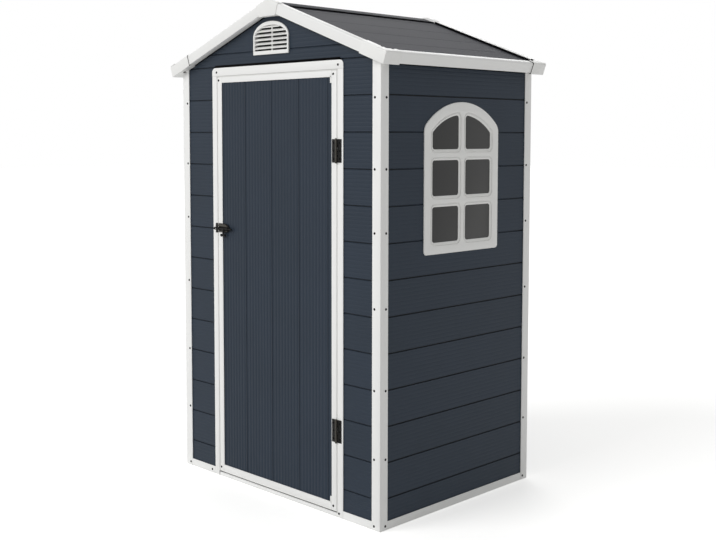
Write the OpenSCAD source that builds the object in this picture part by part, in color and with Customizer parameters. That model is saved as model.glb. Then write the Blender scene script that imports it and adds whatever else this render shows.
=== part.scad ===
// Small flat-pack garden shed: twin-wall resin boards held in white channel profiles,
// a framed single door on butt hinges, an arched side window, louvred gable vents
// and a two-slope roof edged by channel trim with moulded caps.
// Millimetres, +Z up. The origin is on the ground under the middle of the body.

/* [Body] */
// Width over the corner posts
body_w = 1175; // [950:5:1500]
// Depth over the corner posts
body_d = 898; // [760:2:1300]
// Height of the line where the two roof trims would meet
ridge_h = 1973; // [1940:1:2200]
// Slope of the roof in degrees
roof_pitch = 20.3; // [17:0.1:21]

/* [Boards] */
// Thickness of the wall and roof boards
board_t = 16; // [10:1:24]
// Height of one wall board
board_h = 134; // [90:1:180]
// Height of the lowest seam above the ground
first_seam = 115; // [60:1:160]
// Height of the gable seam above the foot of the gable
gable_seam = 49.5; // [30:0.5:90]
// Width of the groove at a seam
groove_w = 5; // [3:0.5:8]
// Depth of the groove at a seam
groove_d = 2.5; // [1:0.5:4]

/* [Frame profiles] */
// Wall thickness of the channel profiles
skin = 3; // [2:0.5:4]
// Play between a board and its channel, on each face
slot_play = 0.5; // [0.3:0.1:1]
// Joint left between pieces that butt together
fit_gap = 0.3; // [0.2:0.1:0.6]
// Width of each flange of a corner post
post_w = 41; // [34:1:60]
// Height of the base rails
rail_h = 31; // [22:1:45]
// Thickness of the base rail under the boards
rail_floor = 8; // [4:1:12]

/* [Roof trim] */
// Width of the roof over its corner caps
roof_w = 1282; // [1262:2:1300]
// Depth of the roof over its corner caps
roof_d = 955; // [945:1:975]
// Height of the trim across the slope
trim_h = 43; // [40:1:52]
// Height of the trim's rounded upper lip
lip_h = 9.5; // [8.5:0.5:12]
// Radius of the trim's upper outer edge
lip_round = 8; // [3:0.5:8]
// Wall of the moulded caps
cap_t = 2; // [1.5:0.5:3]
// Thickness of the foot under a moulded cap
cap_foot = 4; // [2:0.5:6]
// Length of a corner cap along the gable
cap_gable_leg = 125; // [90:1:160]
// Length of a corner cap along the eave
cap_eave_leg = 82; // [60:1:120]
// Length of a peak cap down each slope
peak_leg = 69; // [50:1:95]
// Height by which the crown of a peak cap is flattened
peak_flat = 5; // [3:0.5:8]
// Reach of the ridge cover down each slope
ridge_leg = 61; // [40:1:90]
// Thickness of the ridge cover
ridge_t = 3; // [2:0.5:4]
// Distance from the ridge to the first roof seam
roof_seam = 110; // [90:1:140]

/* [Doorway] */
// Middle of the doorway, to the right of the middle of the body
door_x = 6; // [-40:1:40]
// Clear width between the jambs
opening_w = 720; // [600:5:760]
// Clear height under the head
opening_h = 1687; // [1500:1:1690]
// Width of a jamb's face
jamb_face = 30; // [28:1:40]
// Height of the head's face
head_face = 33.6; // [28:0.2:36]
// Height of the black seal above the head
seal_h = 5.4; // [4:0.2:8]
// Height of the threshold
sill_h = 16; // [10:1:24]
// Reach of the stop lip behind the door
stop_reach = 12; // [9:1:16]
// Thickness of the stop lip
stop_t = 4; // [3:0.5:6]

/* [Door] */
// Running gap round the door leaf
door_gap = 5; // [5:0.5:8]
// Width of the door's stiles
stile_w = 27; // [26:1:40]
// Height of the door's top rail
top_rail_h = 23; // [20:1:40]
// Height of the door's bottom rail
bottom_rail_h = 31; // [24:1:50]
// Depth to which the door sheet sits in its frame
sheet_seat = 12; // [8:1:14]
// Width of one upright board of the door
door_board = 161.5; // [120:0.5:190]
// Distance from the latch edge of the leaf to its first seam
door_seam = 176; // [120:1:200]

/* [Hinges] */
// Height of a hinge
hinge_h = 87; // [60:1:120]
// Reach of a hinge plate from its pin
hinge_reach = 25; // [20:1:26]
// Radius of the hinge knuckle
knuckle_r = 4.5; // [3.5:0.5:4.5]
// Radius of the hinge pin
hinge_pin_r = 2.5; // [2:0.1:3]
// Radial play between the hinge pin and the door's knuckle
pin_play = 0.1; // [0.05:0.05:0.1]
// Height of the middle of the lower hinge
hinge_low_z = 332; // [200:1:500]
// Height of the middle of the upper hinge
hinge_high_z = 1386; // [1100:1:1450]

/* [Latch] */
// Height of the bolt above the ground
latch_z = 1055; // [900:1:1200]
// Length of the latch plate
latch_len = 72; // [60:1:100]
// Height of the latch plate
latch_h = 44; // [36:1:60]
// Radius of the bolt
bolt_r = 4; // [3:0.5:5]
// Play round the bolt in its loops
bolt_play = 0.5; // [0.3:0.1:1]
// How far the bolt slides to lock
bolt_throw = 18; // [14:1:22]
// Width of the keeper on the jamb
keeper_w = 13; // [10:1:16]
// Drop of the bolt's handle below the bolt
handle_drop = 38; // [25:1:50]

/* [Window] */
// Width of the window trim
window_w = 444; // [360:2:560]
// Height of the window trim at its sides
window_side_h = 480; // [420:1:560]
// Rise of the window's arch above its sides
window_rise = 96; // [60:1:110]
// Height of the window trim's foot above the ground
window_z = 995; // [850:1:1050]
// Middle of the window, to the rear of the middle of its side
window_shift = 8; // [-60:2:60]
// How far the trim stands out of the wall
window_proud = 4; // [4:0.5:8]
// Width of the trim round the panes
window_border = 49; // [40:1:64]
// Width of the trim under the lowest panes
window_foot = 44; // [30:1:60]
// Width of the upright bar
mullion_w = 42; // [30:1:60]
// Height of the level bars
transom_h = 41; // [25:1:50]
// Height of the lower panes
pane_h = 135; // [100:1:150]
// Radius of the trim's outer corners
window_round = 12; // [3:1:15]
// Radius of the pane corners
pane_round = 8.5; // [4:0.5:12]
// Overlap of the trim on the wall round the cut-out
window_lap = 20; // [12:1:30]
// Thickness of the glazing sheet
glazing_t = 3; // [2:0.5:4]

/* [Vents] */
// Width of a vent
vent_w = 210; // [160:1:260]
// Height of a vent at its sides
vent_side_h = 69; // [50:1:90]
// Rise of the vent's arch
vent_rise = 60; // [30:1:70]
// Middle of a vent, to the right of the middle of its gable
vent_x = -8; // [-40:1:40]
// Height of the vent's foot above the gable's foot
vent_lift = 34; // [20:1:60]
// How far a vent stands out of the gable
vent_proud = 7; // [5:0.5:10]
// Height of the vent's rim at its foot and crown
vent_rim = 15; // [10:1:18]
// Width of the vent's rim at its sides
vent_side_rim = 8; // [7:0.5:12]
// Width of the vent's upright bar
vent_bar = 7; // [4:0.5:12]
// Spacing of the louvres
louvre_pitch = 16.4; // [12:0.2:22]
// Thickness of a louvre
louvre_t = 2.5; // [1.5:0.5:3]
// Tilt of the louvres in degrees
louvre_tilt = 35; // [20:1:50]

/* [Hidden] */
$fn = 48;
arch_fn = 156;
eps = 0.1;
far = 3000;

// Depths measured inwards from the outer face of the frame
sheet_out = skin + slot_play;
sheet_in = sheet_out + board_t;
slot_w = board_t + 2 * slot_play;
frame_t = slot_w + 2 * skin;
post_core = frame_t;

// Roof section, measured down from the trim's top plane
slot_top = lip_h;
slot_floor = slot_top + board_t + 2 * slot_play;
roof_top = slot_floor - board_t;
roof_bed = slot_floor + fit_gap;
gable_reach = (roof_d - body_d) / 2 - cap_t + sheet_out - fit_gap;
eave_s = (roof_w / 2 - cap_t * sin(roof_pitch)) / cos(roof_pitch) - cap_t;
eave_box_s = (body_w / 2 - sheet_out + fit_gap + trim_h * sin(roof_pitch)) / cos(roof_pitch);
eave_reach = eave_s - eave_box_s;
roof_y = roof_d / 2 - cap_t;
crown_z = crest(cap_t) - peak_flat;

// Doorway
opening_l = door_x - opening_w / 2;
opening_r = door_x + opening_w / 2;
jamb_t = frame_t + door_gap + stop_t;
jamb_slot = 10;
head_top = opening_h + head_face;
head_round = 10;
gable_z = head_top + seal_h;
sill_lip_h = sill_h + 12;
eave_wall_z = crest(-roof_bed) - (body_w / 2 - sheet_out) * tan(roof_pitch);

// Door leaf
leaf_w = opening_w - 2 * door_gap;
leaf_l = opening_l + door_gap;
leaf_z = sill_h + door_gap;
leaf_h = opening_h - door_gap - leaf_z;
corner_block = 20;
corner_step = 5;

// Hinge pin
pin_x = opening_r - door_gap / 2;
pin_depth = -5;
plate_t = 2;
plate_start = 5;

// Latch, measured from the leaf's latch edge
latch_start = 3;
bolt_depth = -8;
loop_w = 12;
loop_wall = 3;
keeper_start = 1;
keeper_far = keeper_start + door_gap + keeper_w;
bolt_tip = bolt_throw - keeper_far;
bolt_tail = 1;
bolt_len = latch_start + latch_len + bolt_throw + bolt_tail - bolt_tip;
handle_t = 6;
handle_w = 14;
knob_w = 40;
knob_h = 16;
handle_gap = 5;

// Window
window_h = window_side_h + window_rise;
arch_r = (window_rise * window_rise + window_w * window_w / 4) / (2 * window_rise);
arch_z = window_h - arch_r;
pane_w = (window_w - 2 * window_border - mullion_w) / 2;
bead_w = 4;
bead_d = 2;

// Vent
vent_opening_inset = 5;
louvre_count = floor((vent_side_h + vent_rise - 2 * vent_rim) / louvre_pitch);
louvre_depth = 12;
louvre_back = 1;
louvre_seat = 2;
louvre_start = 5.5;
vent_bar_depth = 8;
vent_bar_t = 4;

// ---------------------------------------------------------------- placing

// Puts a piece on one side of the body: 0 front, 1 right, 2 rear, 3 left.
// X then runs to the right seen from outside, and Y runs inwards from the frame's face.
module at_side(n) {
    half = n % 2 == 0 ? body_d / 2 : body_w / 2;
    rotate([0, 0, 90 * n]) translate([0, -half, 0]) children();
}

// Length of a side, over the corner posts
function side_w(n) = n % 2 == 0 ? body_w : body_d;

// Stands a flat drawing upright in a side, between two depths
module upright(from, to) {
    translate([0, to, 0]) rotate([90, 0, 0]) linear_extrude(to - from) children();
}

// Right-hand roof slope: X runs down the slope from the ridge, Z out of the slope
module on_slope() {
    translate([0, 0, ridge_h]) rotate([0, roof_pitch, 0]) children();
}

// Repeats a right-hand piece on the left where left is true
module handed(left) {
    mirror([left ? 1 : 0, 0, 0]) children();
}

// Repeats a front piece at the rear where rear is true
module ended(rear) {
    mirror([0, rear ? 1 : 0, 0]) children();
}

// Everything below the roof's top plane lowered by drop, measured across the slope
module below_roof(drop) {
    top = crest(-drop);
    side = top - far * tan(roof_pitch);
    translate([0, far, 0]) rotate([90, 0, 0]) linear_extrude(2 * far)
        polygon([[-far, side], [0, top], [far, side], [far, -far], [-far, -far]]);
}

// Point of the roof's end view, s down the slope and n out of it
function slope_point(s, n) = [
    s * cos(roof_pitch) + n * sin(roof_pitch),
    ridge_h - s * sin(roof_pitch) + n * cos(roof_pitch)
];

// Height at the ridge of the plane that lies n out of the roof's top plane
function crest(n) = ridge_h + n / cos(roof_pitch);

// ---------------------------------------------------------------- profiles

// Channel of a base rail, drawn as depth and height
module rail_section() {
    difference() {
        square([frame_t, rail_h]);
        translate([skin, rail_floor]) square([slot_w, rail_h]);
    }
}

// Corner post seen from above, its outer corner at the origin
module post_section() {
    difference() {
        union() {
            translate([-post_w, 0]) square([post_w, frame_t]);
            translate([-frame_t, 0]) square([frame_t, post_w]);
        }
        translate([-post_w - eps, skin]) square([post_w - post_core + eps, slot_w]);
        translate([-skin - slot_w, post_core]) square([slot_w, post_w]);
        translate([-post_core + skin, skin]) square([slot_w, slot_w]);
    }
}

// Jamb seen from above, its face to the opening at X = 0
module jamb_section() {
    difference() {
        union() {
            square([jamb_face, frame_t]);
            square([jamb_face - jamb_slot, jamb_t]);
            translate([-stop_reach, jamb_t - stop_t]) square([stop_reach + eps, stop_t]);
        }
        translate([jamb_face - jamb_slot, skin]) square([jamb_slot + eps, slot_w]);
        translate([skin, skin]) square([jamb_face - jamb_slot - 2 * skin, jamb_t - 2 * skin]);
    }
}

// Door frame profile, its outer edge at X = 0 and its sheet slot at X = width
module leaf_section(width) {
    difference() {
        square([width, frame_t]);
        translate([width - sheet_seat, skin]) square([sheet_seat + eps, slot_w]);
        translate([skin, skin]) square([width - sheet_seat - 2 * skin, slot_w]);
    }
}

// Outline of the roof trim: X inwards from its outer face, Y down to -trim_h
module trim_outline(reach) {
    translate([0, -trim_h]) square([reach, trim_h - lip_round]);
    translate([lip_round, -trim_h]) square([reach - lip_round, trim_h]);
    translate([lip_round, -lip_round]) circle(lip_round);
}

// Roof trim: an upper lip, a slot for the roof board and a hollow box below
module trim_section(lip_reach, box_reach) {
    difference() {
        union() {
            intersection() {
                trim_outline(lip_reach);
                translate([0, -slot_floor - eps]) square([lip_reach, slot_floor + eps]);
            }
            translate([0, -trim_h]) square([box_reach, trim_h - slot_floor]);
        }
        translate([skin, -slot_floor]) square([far, slot_floor - slot_top]);
        translate([skin, -trim_h + skin])
            square([box_reach - 2 * skin, trim_h - slot_floor - 2 * skin]);
    }
}

// Outline of a moulded cap round the roof trim, without its foot
module sleeve_outline(lip_reach) {
    translate([-cap_t, -trim_h]) square([lip_reach + cap_t, trim_h + cap_t - lip_round]);
    translate([lip_round - cap_t, -trim_h])
        square([lip_reach - lip_round + cap_t, trim_h + cap_t]);
    translate([lip_round - cap_t, cap_t - lip_round]) circle(lip_round);
}

// Sleeve that a moulded cap makes round the roof trim, with a foot below it
module sleeve_section(lip_reach, foot_reach) {
    difference() {
        union() {
            sleeve_outline(lip_reach);
            translate([-cap_t, -trim_h - cap_foot]) square([foot_reach + cap_t, cap_foot + eps]);
        }
        trim_outline(lip_reach + eps);
    }
}

// Runs a section along the ground line of a side, from one place to another
module along_side(from, to) {
    translate([from, 0, 0]) rotate([90, 0, 90]) linear_extrude(to - from) children();
}

// Runs a section down the slope at the front edge of the roof
module along_gable(from, to) {
    translate([from, -roof_y, 0]) rotate([90, 0, 90]) linear_extrude(to - from) children();
}

// Runs a section along the eave, its outer face at the foot of the slope
module along_eave(from, to) {
    translate([eave_s, from, 0]) mirror([1, 0, 0]) rotate([90, 0, 0])
        mirror([0, 0, 1]) linear_extrude(to - from) children();
}

// ---------------------------------------------------------------- boards

// Heights of the seams that lie between two levels
function wall_seams(low, high) = [
    for (k = [0 : ceil((high - first_seam) / board_h)])
        let (z = first_seam + k * board_h)
            if (z > low + 3 * groove_w && z < high - 3 * groove_w) z
];

// Boarded sheet in a side: seams are V grooves in its outer face
module boarding(from, to, low, high, seams) {
    face = sheet_out;
    cuts = [
        for (z = seams)
            for (p = [[face, z - groove_w / 2], [face + groove_d, z], [face, z + groove_w / 2]]) p
    ];
    edge = groove_w / 2;
    outline = concat(
        [[sheet_in, low], [face + groove_d / 2, low], [face, low + edge / 2]],
        cuts,
        [[face, high - edge / 2], [face + groove_d / 2, high], [sheet_in, high]]
    );
    along_side(from, to) polygon(outline);
}

module wall_sheet(n, from, to, high) {
    color("#3c434a") intersection() {
        at_side(n) boarding(from, to, rail_floor, high, wall_seams(rail_h, min(high, eave_wall_z)));
        below_roof(roof_bed);
    }
}

// Half-length of the boards of a side, reaching into the posts
function sheet_half(n) = side_w(n) / 2 - post_core - slot_play;

module full_wall(n, high) {
    wall_sheet(n, -sheet_half(n), sheet_half(n), high);
}

module gable(n) {
    color("#3c434a") difference() {
        intersection() {
            at_side(n) boarding(
                -sheet_half(n), sheet_half(n), gable_z, ridge_h,
                [gable_z + gable_seam, gable_z + gable_seam + board_h]
            );
            below_roof(roof_bed);
        }
        at_vent(n) upright(-far, far) vent_outline(vent_opening_inset, vent_opening_inset);
    }
}

module front_wall_left() {
    wall_sheet(
        0, -sheet_half(0), opening_l - jamb_face + jamb_slot - slot_play, gable_z
    );
}

module front_wall_right() {
    wall_sheet(
        0, opening_r + jamb_face - jamb_slot + slot_play, sheet_half(0), gable_z
    );
}

module front_gable() {
    gable(0);
}

module rear_wall() {
    full_wall(2, gable_z);
}

module rear_gable() {
    gable(2);
}

module left_wall() {
    full_wall(3, ridge_h);
}

module right_wall() {
    difference() {
        full_wall(1, ridge_h);
        at_window() upright(-far / 2, far / 2) window_outline(window_lap);
    }
}

// ---------------------------------------------------------------- frame

module base_rail(n, from, to) {
    color("#e8e8e5") at_side(n) along_side(from, to) rail_section();
}

module full_rail(n) {
    half = side_w(n) / 2 - post_w - fit_gap;
    base_rail(n, -half, half);
}

module base_rail_front_left() {
    base_rail(0, -body_w / 2 + post_w + fit_gap, opening_l - jamb_face - fit_gap);
}

module base_rail_front_right() {
    base_rail(0, opening_r + jamb_face + fit_gap, body_w / 2 - post_w - fit_gap);
}

module base_rail_right() {
    full_rail(1);
}

module base_rail_rear() {
    full_rail(2);
}

module base_rail_left() {
    full_rail(3);
}

// Corner post at the right-hand end of side n: its flanges stop under the roof trim,
// and its core runs on up to the roof boards
module corner_post(n) {
    other = side_w(n) / 2;
    core = post_core - sheet_out;
    color("#e8e8e5") {
        intersection() {
            at_side(n) translate([other, 0, 0]) linear_extrude(ridge_h) post_section();
            below_roof(trim_h + cap_foot + fit_gap);
        }
        intersection() {
            at_side(n) translate([other - post_core, sheet_out, 0]) linear_extrude(ridge_h)
                difference() {
                    square(core);
                    translate([skin, 0]) square([core - skin, core - skin]);
                }
            below_roof(roof_bed);
        }
    }
}

module corner_post_front_right() {
    corner_post(0);
}

module corner_post_rear_right() {
    corner_post(1);
}

module corner_post_rear_left() {
    corner_post(2);
}

module corner_post_front_left() {
    corner_post(3);
}

// ---------------------------------------------------------------- doorway

module door_jamb_right() {
    color("#e8e8e5") at_side(0) translate([opening_r, 0, 0])
        linear_extrude(opening_h) jamb_section();
}

module door_jamb_left() {
    color("#e8e8e5") at_side(0) translate([opening_l, 0, 0]) mirror([1, 0, 0])
        linear_extrude(opening_h) jamb_section();
}

// Head across both jambs, with rounded upper corners and slots for the wall boards
module door_head() {
    half = opening_w / 2 + jamb_face;
    inner = opening_w / 2 - stop_reach - fit_gap;
    color("#e8e8e5") at_side(0) translate([door_x, 0, opening_h]) {
        difference() {
            intersection() {
                along_side(-half, half) difference() {
                    square([jamb_t, head_face]);
                    translate([skin, skin]) square([jamb_t - 2 * skin, head_face - 2 * skin]);
                }
                upright(-eps, jamb_t + eps) union() {
                    translate([-half, 0]) square([2 * half, head_face - head_round]);
                    translate([-half + head_round, 0])
                        square([2 * (half - head_round), head_face]);
                    for (x = [-1, 1])
                        translate([x * (half - head_round), head_face - head_round])
                            circle(head_round);
                }
            }
            for (x = [-half - eps, half - jamb_slot])
                translate([x, skin, -eps]) cube([jamb_slot + eps, slot_w, head_face + 2 * eps]);
            for (x = [-half - eps, half - jamb_slot])
                translate([x, frame_t, -eps])
                    cube([jamb_slot + eps, jamb_t, head_face + 2 * eps]);
        }
        along_side(-inner, inner) translate([jamb_t - stop_t, -stop_reach])
            square([stop_t, stop_reach + eps]);
    }
}

module door_head_seal() {
    half = opening_w / 2 + jamb_face - jamb_slot;
    color("#101112") at_side(0) translate([door_x, 0, head_top])
        along_side(-half, half) translate([sheet_out, 0]) square([board_t, seal_h]);
}

module door_threshold() {
    wide = opening_w / 2 - fit_gap;
    narrow = wide - stop_reach;
    color("#e8e8e5") at_side(0) translate([door_x, 0, 0]) {
        along_side(-wide, wide) square([jamb_t - stop_t - fit_gap, sill_h]);
        along_side(-narrow, narrow) translate([jamb_t - stop_t - fit_gap, 0])
            square([stop_t + fit_gap, sill_lip_h]);
    }
}

// ---------------------------------------------------------------- door leaf

module in_leaf() {
    at_side(0) translate([leaf_l, 0, leaf_z]) children();
}

module door_stile_latch() {
    color("#e8e8e5") in_leaf() linear_extrude(leaf_h) leaf_section(stile_w);
}

module door_stile_hinge() {
    color("#e8e8e5") in_leaf() translate([leaf_w, 0, 0]) mirror([1, 0, 0])
        linear_extrude(leaf_h) leaf_section(stile_w);
}

// Rail of the leaf with its sheet slot facing up, and the wider moulded corners
module leaf_rail(height) {
    along_side(stile_w, leaf_w - stile_w) mirror([0, 1]) rotate(-90) leaf_section(height);
    for (x = [stile_w, leaf_w - stile_w - corner_block])
        translate([x, 0, height - eps]) cube([corner_block, skin, corner_step + eps]);
}

module door_rail_bottom() {
    color("#e8e8e5") in_leaf() leaf_rail(bottom_rail_h);
}

module door_rail_top() {
    color("#e8e8e5") in_leaf() translate([0, 0, leaf_h]) mirror([0, 0, 1])
        leaf_rail(top_rail_h);
}

module door_sheet() {
    start = stile_w - sheet_seat + slot_play;
    end = leaf_w - start;
    low = bottom_rail_h - sheet_seat + slot_play;
    high = leaf_h - top_rail_h + sheet_seat - slot_play;
    seams = [for (x = [door_seam : door_board : end - stile_w]) x];
    cuts = [
        for (x = seams)
            for (p = [[x - groove_w / 2, sheet_out], [x, sheet_out + groove_d],
                      [x + groove_w / 2, sheet_out]]) p
    ];
    outline = concat(
        [[start, sheet_in], [start, sheet_out]], cuts, [[end, sheet_out], [end, sheet_in]]
    );
    color("#3c434a") in_leaf() translate([0, 0, low]) linear_extrude(high - low)
        polygon(outline);
}

// ---------------------------------------------------------------- hinges

// Places a piece at each hinge, its pin on the Z axis
module at_hinges() {
    for (z = [hinge_low_z, hinge_high_z])
        at_side(0) translate([pin_x, pin_depth, z]) children();
}

// Plate of a hinge on its own side of the pin
module hinge_plate() {
    translate([plate_start, -pin_depth - plate_t, -hinge_h / 2])
        cube([hinge_reach - plate_start, plate_t, hinge_h]);
}

// One length of knuckle with the tongue that joins it to the plate
module knuckle(low, high) {
    translate([0, 0, low]) {
        cylinder(r = knuckle_r, h = high - low);
        translate([0, -pin_depth - plate_t, 0]) cube([plate_start + eps, plate_t, high - low]);
    }
}

module hinge_jamb_plates() {
    third = hinge_h / 6;
    color("#17181a") at_hinges() {
        hinge_plate();
        knuckle(-hinge_h / 2, -third - fit_gap);
        knuckle(third + fit_gap, hinge_h / 2);
        translate([0, 0, -hinge_h / 2]) cylinder(r = hinge_pin_r, h = hinge_h);
    }
}

module hinge_door_plates() {
    third = hinge_h / 6;
    color("#17181a") at_hinges() mirror([1, 0, 0]) difference() {
        union() {
            hinge_plate();
            knuckle(-third, third);
        }
        translate([0, 0, -hinge_h]) cylinder(r = hinge_pin_r + pin_play, h = 2 * hinge_h);
    }
}

// ---------------------------------------------------------------- latch

// Places a piece on the bolt's line, X from the leaf's latch edge
module at_latch() {
    at_side(0) translate([leaf_l, bolt_depth, latch_z]) children();
}

// Raised loop that guides the bolt
module bolt_loop(from, width) {
    r = bolt_r + bolt_play;
    side = r + loop_wall;
    difference() {
        translate([from, -side, -side]) cube([width, side - bolt_depth, 2 * side]);
        translate([from - eps, 0, 0]) rotate([0, 90, 0]) cylinder(r = r, h = width + 2 * eps);
    }
}

module latch_plate() {
    color("#17181a") at_latch() {
        translate([latch_start, -bolt_depth - plate_t, -latch_h / 2])
            cube([latch_len, plate_t, latch_h]);
        bolt_loop(latch_start, loop_w);
        bolt_loop(latch_start + latch_len - loop_w, loop_w);
    }
}

module latch_keeper() {
    color("#17181a") at_latch() {
        translate([-keeper_far, -bolt_depth - plate_t, -latch_h / 2])
            cube([keeper_w, plate_t, latch_h]);
        bolt_loop(-keeper_far, keeper_w);
    }
}

// Sliding bolt with its handle, drawn back just clear of the keeper
module latch_bolt() {
    handle_start = latch_start + loop_w + handle_gap + bolt_throw;
    color("#17181a") at_latch() {
        translate([bolt_tip, 0, 0]) rotate([0, 90, 0]) cylinder(r = bolt_r, h = bolt_len);
        translate([handle_start, -handle_t, -handle_drop])
            cube([handle_w, handle_t, handle_drop]);
        translate([handle_start + handle_w + loop_wall - knob_w, -handle_t, -handle_drop])
            cube([knob_w, handle_t, knob_h]);
    }
}

// ---------------------------------------------------------------- window

// Rounded upright rectangle from its lower left corner
module rounded_pane(w, h, r) {
    translate([r, 0]) square([w - 2 * r, h]);
    translate([0, r]) square([w, h - 2 * r]);
    for (x = [r, w - r], y = [r, h - r]) translate([x, y]) circle(r);
}

// Upright shape under an arch of the window, from near to near + w, its corners rounded by r
module arched(near, low, w, arch, r) {
    difference() {
        intersection() {
            translate([near, low]) rounded_pane(w, 2 * window_h, r);
            translate([0, arch_z]) circle(arch, $fn = arch_fn);
        }
        for (corner = [[near + r, near], [near + w - r, near + w]])
            let (rise = sqrt(pow(arch - r, 2) - pow(corner[0], 2)), beyond = (arch + r) / (arch - r))
                translate([0, arch_z])
                    polygon([[corner[0], rise], [corner[1], rise], [corner[1], 2 * arch],
                             [corner[0] * beyond, rise * beyond]]);
    }
    for (x = [near + r, near + w - r])
        translate([x, arch_z + sqrt(pow(arch - r, 2) - pow(x, 2))]) circle(r);
}

// Window outline with its arched top, shrunk all round by inset
module window_outline(inset) {
    arched(inset - window_w / 2, inset, window_w - 2 * inset, arch_r - inset, window_round);
}

// The six panes, grown all round by grow
module panes(grow) {
    w = pane_w + 2 * grow;
    r = pane_round + grow;
    near = mullion_w / 2 - grow;
    step = pane_h + transom_h;
    for (left = [false, true]) handed(left) {
        for (row = [0, 1])
            translate([near, window_foot + row * step - grow])
                rounded_pane(w, pane_h + 2 * grow, r);
        arched(near, window_foot + 2 * step - grow, w, arch_r - window_border + grow, r);
    }
}

module at_window() {
    at_side(1) translate([window_shift, 0, window_z]) children();
}

module window_trim_outer() {
    face = sheet_out - window_proud;
    color("#e8e8e5") at_window() difference() {
        upright(face, sheet_out) window_outline(0);
        upright(face - eps, sheet_out + eps) panes(0);
        upright(face - eps, face + bead_d) panes(bead_w);
    }
}

module window_glazing() {
    color("#3f3f3f") at_window() upright(sheet_out, sheet_out + glazing_t)
        window_outline(window_lap + fit_gap);
}

module window_trim_inner() {
    color("#e8e8e5") at_window() difference() {
        union() {
            upright(sheet_out + glazing_t, sheet_in + eps) window_outline(window_lap + fit_gap);
            upright(sheet_in, sheet_in + skin) window_outline(0);
        }
        upright(0, frame_t + window_proud) panes(0);
    }
}

// ---------------------------------------------------------------- vents

// Vent outline with a half-oval top, shrunk by one inset in height and another at its sides
module vent_outline(inset, side_inset) {
    half = vent_w / 2 - side_inset;
    polygon(concat(
        [[-half, inset], [half, inset]],
        [for (a = [0 : 6 : 180]) [half * cos(a), vent_side_h + (vent_rise - inset) * sin(a)]]
    ));
}

module at_vent(n) {
    at_side(n) translate([vent_x, 0, gable_z + vent_lift]) children();
}

module vent(n) {
    face = sheet_out - vent_proud;
    collar = vent_opening_inset + fit_gap;
    color("#e8e8e5") at_vent(n) {
        difference() {
            union() {
                upright(face, sheet_out) vent_outline(0, 0);
                upright(face, sheet_in) vent_outline(collar, collar);
            }
            upright(face - eps, sheet_in + eps) vent_outline(vent_rim, vent_side_rim);
        }
        intersection() {
            upright(face + louvre_back, sheet_in)
                vent_outline(vent_rim - louvre_seat, vent_side_rim - louvre_seat);
            union() {
                translate([-vent_bar / 2, face + vent_bar_depth, 0])
                    cube([vent_bar, vent_bar_t, vent_w]);
                for (k = [0 : louvre_count - 1])
                    translate([-vent_w / 2, face + 2 * louvre_back, vent_rim + louvre_start
                               + k * louvre_pitch])
                        rotate([louvre_tilt, 0, 0]) cube([vent_w, louvre_depth, louvre_t]);
            }
        }
    }
}

module front_vent() {
    vent(0);
}

module rear_vent() {
    vent(2);
}

// ---------------------------------------------------------------- roof

// One slope of roof boards: seams are V grooves that run level along the slope
module roof_panel(left) {
    end = eave_s - skin - slot_play;
    half = roof_y - skin - slot_play;
    cuts = [
        for (s = [roof_seam : board_h : end - skin])
            for (p = [[s - groove_w / 2, -roof_top], [s, -roof_top - groove_d],
                      [s + groove_w / 2, -roof_top]]) p
    ];
    outline = concat(
        [[-board_t, -slot_floor], [-board_t, -roof_top]],
        cuts,
        [[end, -roof_top], [end, -slot_floor]]
    );
    color("#656669") handed(left) intersection() {
        on_slope() translate([0, half, 0]) rotate([90, 0, 0]) linear_extrude(2 * half)
            polygon(outline);
        translate([fit_gap / 2, -far, 0]) cube([far, 2 * far, far]);
    }
}

module roof_panel_right() {
    roof_panel(false);
}

module roof_panel_left() {
    roof_panel(true);
}

module ridge_cover() {
    half = roof_y - gable_reach - fit_gap;
    bed = fit_gap - roof_top;
    outer = slope_point(ridge_leg, bed + ridge_t);
    foot = slope_point(ridge_leg, bed);
    color("#656669") translate([0, half, 0]) rotate([90, 0, 0]) linear_extrude(2 * half)
        polygon([
            [0, crest(bed + ridge_t)], outer, foot,
            [0, crest(bed)], [-foot[0], foot[1]], [-outer[0], outer[1]]
        ]);
}

// Gable trim from the ridge to the foot of the slope
module barge(left, rear) {
    color("#e8e8e5") ended(rear) handed(left) intersection() {
        on_slope() along_gable(-trim_h, eave_s) trim_section(gable_reach, gable_reach);
        translate([fit_gap / 2, -far, 0]) cube([far, 2 * far, crown_z - cap_t]);
    }
}

module front_barge_right() {
    barge(false, false);
}

module front_barge_left() {
    barge(true, false);
}

module rear_barge_right() {
    barge(false, true);
}

module rear_barge_left() {
    barge(true, true);
}

module eave_trim(left) {
    half = roof_y - gable_reach - fit_gap;
    color("#e8e8e5") handed(left) on_slope() along_eave(-half, half)
        trim_section(gable_reach, eave_reach);
}

module eave_trim_right() {
    eave_trim(false);
}

module eave_trim_left() {
    eave_trim(true);
}

// Moulded cap over the corner where gable trim and eave trim meet
module corner_cap(left, rear) {
    color("#e8e8e5") ended(rear) handed(left) on_slope() difference() {
        union() {
            along_gable(eave_s - cap_gable_leg, eave_s + cap_t)
                sleeve_section(gable_reach, gable_reach);
            along_eave(-roof_y - cap_t, -roof_y + cap_eave_leg)
                sleeve_section(gable_reach, eave_reach - cap_foot * tan(roof_pitch));
        }
        along_gable(eave_s - cap_gable_leg - eps, eave_s) trim_outline(gable_reach + eps);
        along_eave(-roof_y, -roof_y + cap_eave_leg + eps) trim_outline(eave_reach + eps);
    }
}

module corner_cap_front_right() {
    corner_cap(false, false);
}

module corner_cap_front_left() {
    corner_cap(true, false);
}

module corner_cap_rear_right() {
    corner_cap(false, true);
}

module corner_cap_rear_left() {
    corner_cap(true, true);
}

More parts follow.
